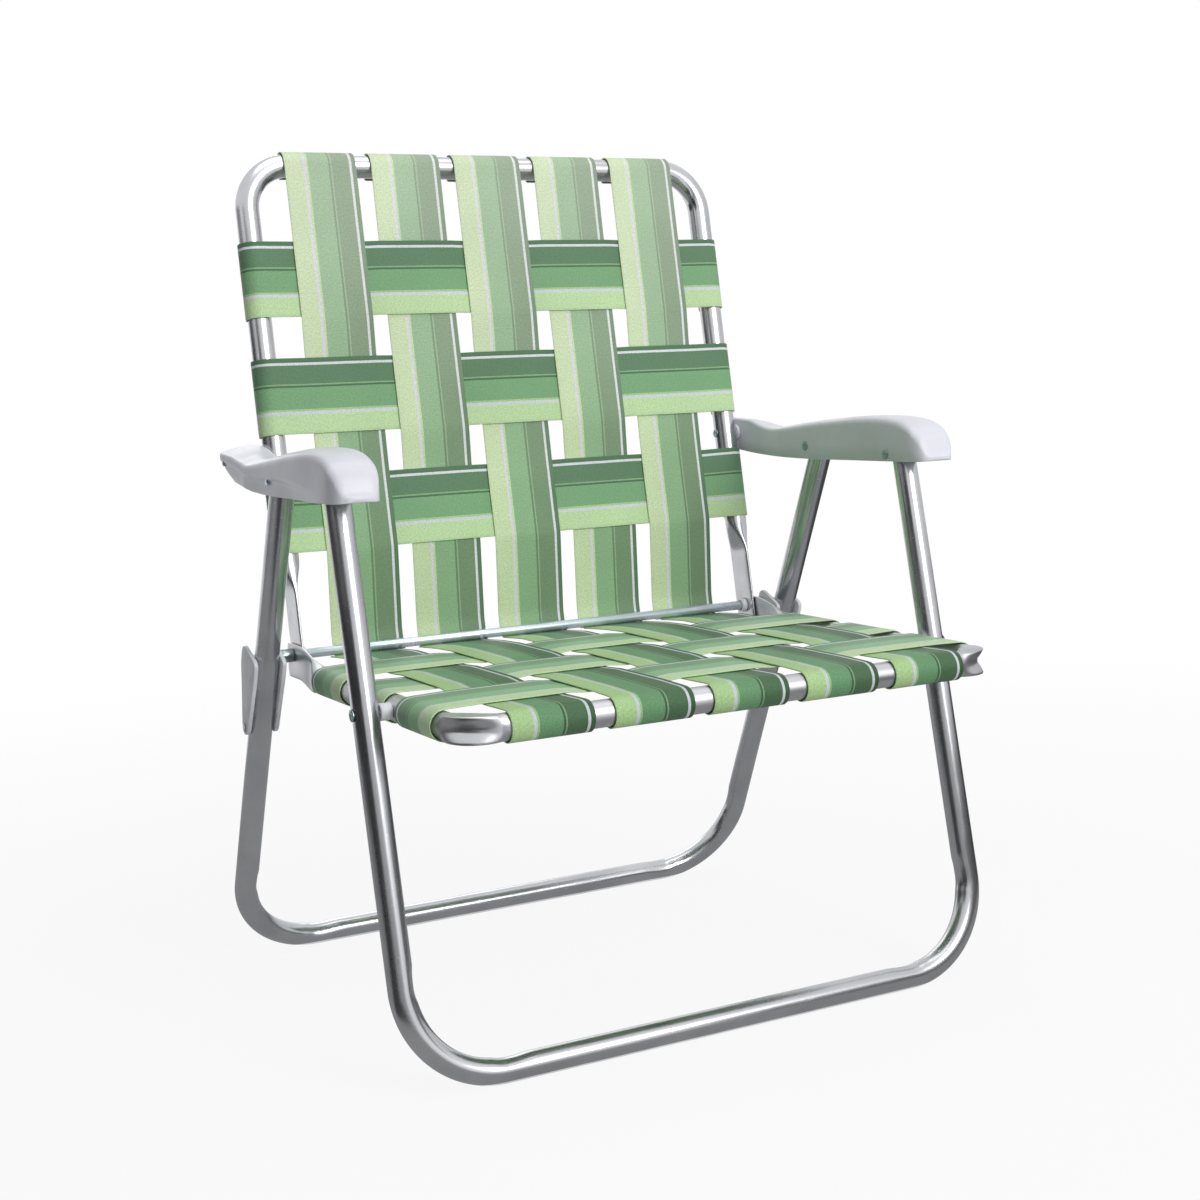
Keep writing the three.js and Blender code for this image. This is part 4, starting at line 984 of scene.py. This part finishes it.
room = {
    "floor": "#D2D2D2", "floorHalf": 12, "floorGlow": 0.90, "glowNear": 0.6, "glowFar": 2.0,
    "worldFill": 0.34, "fillColour": (0.96, 0.98, 1, 1), "aim": (0, 0, 0.4),
    # name, place, size and power
    "lamps": [
        ("frontLamp", (0.7, -3.0, 1.9), 1.8, 67.0),
        ("topLamp", (0.1, -0.3, 2.9), 2.2, 19.0),
        ("backLamp", (0.6, 3.0, 1.8), 1.8, 13.0),
    ],
    "faces": {"left": (-1, 0, 0), "right": (1, 0, 0), "back": (0, 1, 0), "up": (0, 0, 1)},
    # boards that gloss sees and the camera doesn't, glowing though they are no lamps: painted
    # reflections of a room's dark and light walls on the metal.
    # Name, centre, size, the way they face, how bright they glow, and whether they shade the chair
    # from the world's light too
    "boards": [
        ("boardLeft", (-2.3, 1.25, 0.375), (4.1, 1.15), "right", 0.03, True),
        ("boardLeftHigh", (-2.3, 1.9, 1.13), (2.8, 0.34), "right", 0.35, False),
        ("boardLeftFront", (-2.35, -1.8, 0.7), (2.0, 1.8), "right", 0.04, True),
        ("boardFrontLow", (-2.0, -3.6, 0.2), (4.4, 0.8), "back", 0.26, False),
        ("boardFrontMiddle", (-2.0, -3.6, 0.85), (4.4, 0.5), "back", 0.48, False),
        ("boardPole", (-0.22, -3.2, 1.0), (0.14, 2.6), "back", 0.45, False),
        ("boardNear", (0.85, -0.68, 0.15), (1.2, 0.3), "back", 0.12, False),
        ("boardRight", (2.3, 0.6, 1.3), (4.2, 1.9), "left", 0.85, False),
        ("boardRightLow", (2.3, 0.6, 0.075), (4.2, 0.55), "left", 0.06, False),
        ("boardFloor", (-0.275, 0.165, 0.004), (2.05, 2.27), "up", 0.36, False),
        ("boardFloorLeft", (-1.66, -0.875, 0.005), (2.48, 1.45), "up", 0.06, False),
        ("boardFloorBack", (-2.1, 0.675, 0.004), (1.6, 1.45), "up", 0.28, False),
        ("boardFloorRight", (1.525, 0.165, 0.004), (1.55, 2.27), "up", 0.08, False),
    ],
}
white = (1, 1, 1, 1)


def backgroundRays(look):
    # 1 for what the camera, gloss and clear pieces see of the room, 0 for its light on the chair
    path = look.tree.nodes.new("ShaderNodeLightPath")
    camera, gloss, clear = (Wire(look, path.outputs[name]) for name in (
        "Is Camera Ray", "Is Glossy Ray", "Is Transmission Ray"))
    return look.maths("MAXIMUM", camera, look.maths("MAXIMUM", gloss, clear))


def glow(look, colour):
    return look.node("Emission", {"Color": colour, "Strength": 1.0})


def floorLook():
    # Lit by the lamps near the chair, so its shadow shows, and plain white further out
    look = Look("paleFloor")
    plain = look.node("BsdfDiffuse", {"Color": hexColour(room["floor"])})
    bright = glow(look, white)
    reach = look.node("VectorMath", {0: look.spot()}, 1, operation="LENGTH")
    share = look.span(reach, room["glowNear"], room["glowFar"], room["floorGlow"], 1.0)
    share = backgroundRays(look) * share
    return look.output(look.node("MixShader", {0: share, 1: plain, 2: bright}))


def flatPiece(name, halfWidth, halfDepth, look):
    w, d = halfWidth, halfDepth
    mesh = bpy.data.meshes.new(name)
    mesh.from_pydata([(-w, -d, 0), (w, -d, 0), (w, d, 0), (-w, d, 0)], [], [(0, 1, 2, 3)])
    mesh.materials.append(look)
    return addObject(name, mesh)


def turnTo(way, axis):
    return Vector(way).to_track_quat(axis, "Y").to_matrix().to_4x4()


def makeWorld():
    # White to the camera and to gloss, and a dim bluish fill on the chair
    sky = Look("paleRoom", bpy.data.worlds.new("paleRoom"))
    bpy.context.scene.world = sky.owner
    bright = sky.node("Background", {"Color": white, "Strength": 1.0})
    fill = sky.node("Background", {"Color": room["fillColour"], "Strength": room["worldFill"]})
    both = sky.node("MixShader", {0: backgroundRays(sky), 1: fill, 2: bright})
    sky.output(both, "OutputWorld")


def makeLamps():
    for name, at, size, power in room["lamps"]:
        light = bpy.data.lights.new(name, "AREA")
        light.shape = "DISK"
        light.size = size
        light.energy = power
        aim = Vector(room["aim"]) - Vector(at)
        addObject(name, light).matrix_world = Matrix.Translation(at) @ turnTo(aim, "-Z")


def makeBoards():
    # Each board glows at its tone for reflections only: painted reflections, not lamps
    for name, at, (width, depth), face, tone, shades in room["boards"]:
        look = Look(name)
        look.output(glow(look, (tone, tone, tone, 1)))
        board = flatPiece(name, width / 2, depth / 2, look.owner)
        board.matrix_world = Matrix.Translation(at) @ turnTo(room["faces"][face], "Z")
        board.visible_diffuse = shades
        board.visible_camera = board.visible_shadow = board.visible_transmission = False


camera = {
    "at": (-0.8071, -1.5396, 0.5738), "yaw": 27.83, "pitch": -7.06, "roll": -2.31, "lens": 56.27,
    "sensor": 36, "nearest": 0.05,
}


def makeCamera():
    # Looks along its yaw and pitch, then turns by its roll about that way
    yaw, pitch, roll = (math.radians(camera[key]) for key in ("yaw", "pitch", "roll"))
    level = math.cos(pitch)
    ahead = Vector((math.sin(yaw) * level, math.cos(yaw) * level, math.sin(pitch)))
    flatRight = ahead.cross(Vector((0, 0, 1))).normalized()
    flatUp = flatRight.cross(ahead)
    right = math.cos(roll) * flatRight + math.sin(roll) * flatUp
    up = -math.sin(roll) * flatRight + math.cos(roll) * flatUp
    lens = bpy.data.cameras.new("photoCamera")
    lens.lens, lens.sensor_width, lens.clip_start = (
        camera[key] for key in ("lens", "sensor", "nearest"))
    holder = addObject("photoCamera", lens)
    turn = Matrix((right, up, -ahead)).transposed().to_4x4()
    holder.matrix_world = Matrix.Translation(camera["at"]) @ turn
    bpy.context.scene.camera = holder


flatPiece("floor", room["floorHalf"], room["floorHalf"], floorLook())
makeWorld()
makeLamps()
makeBoards()
makeCamera()
bpy.context.scene.view_settings.view_transform = "Standard"
print("room, light and camera made")
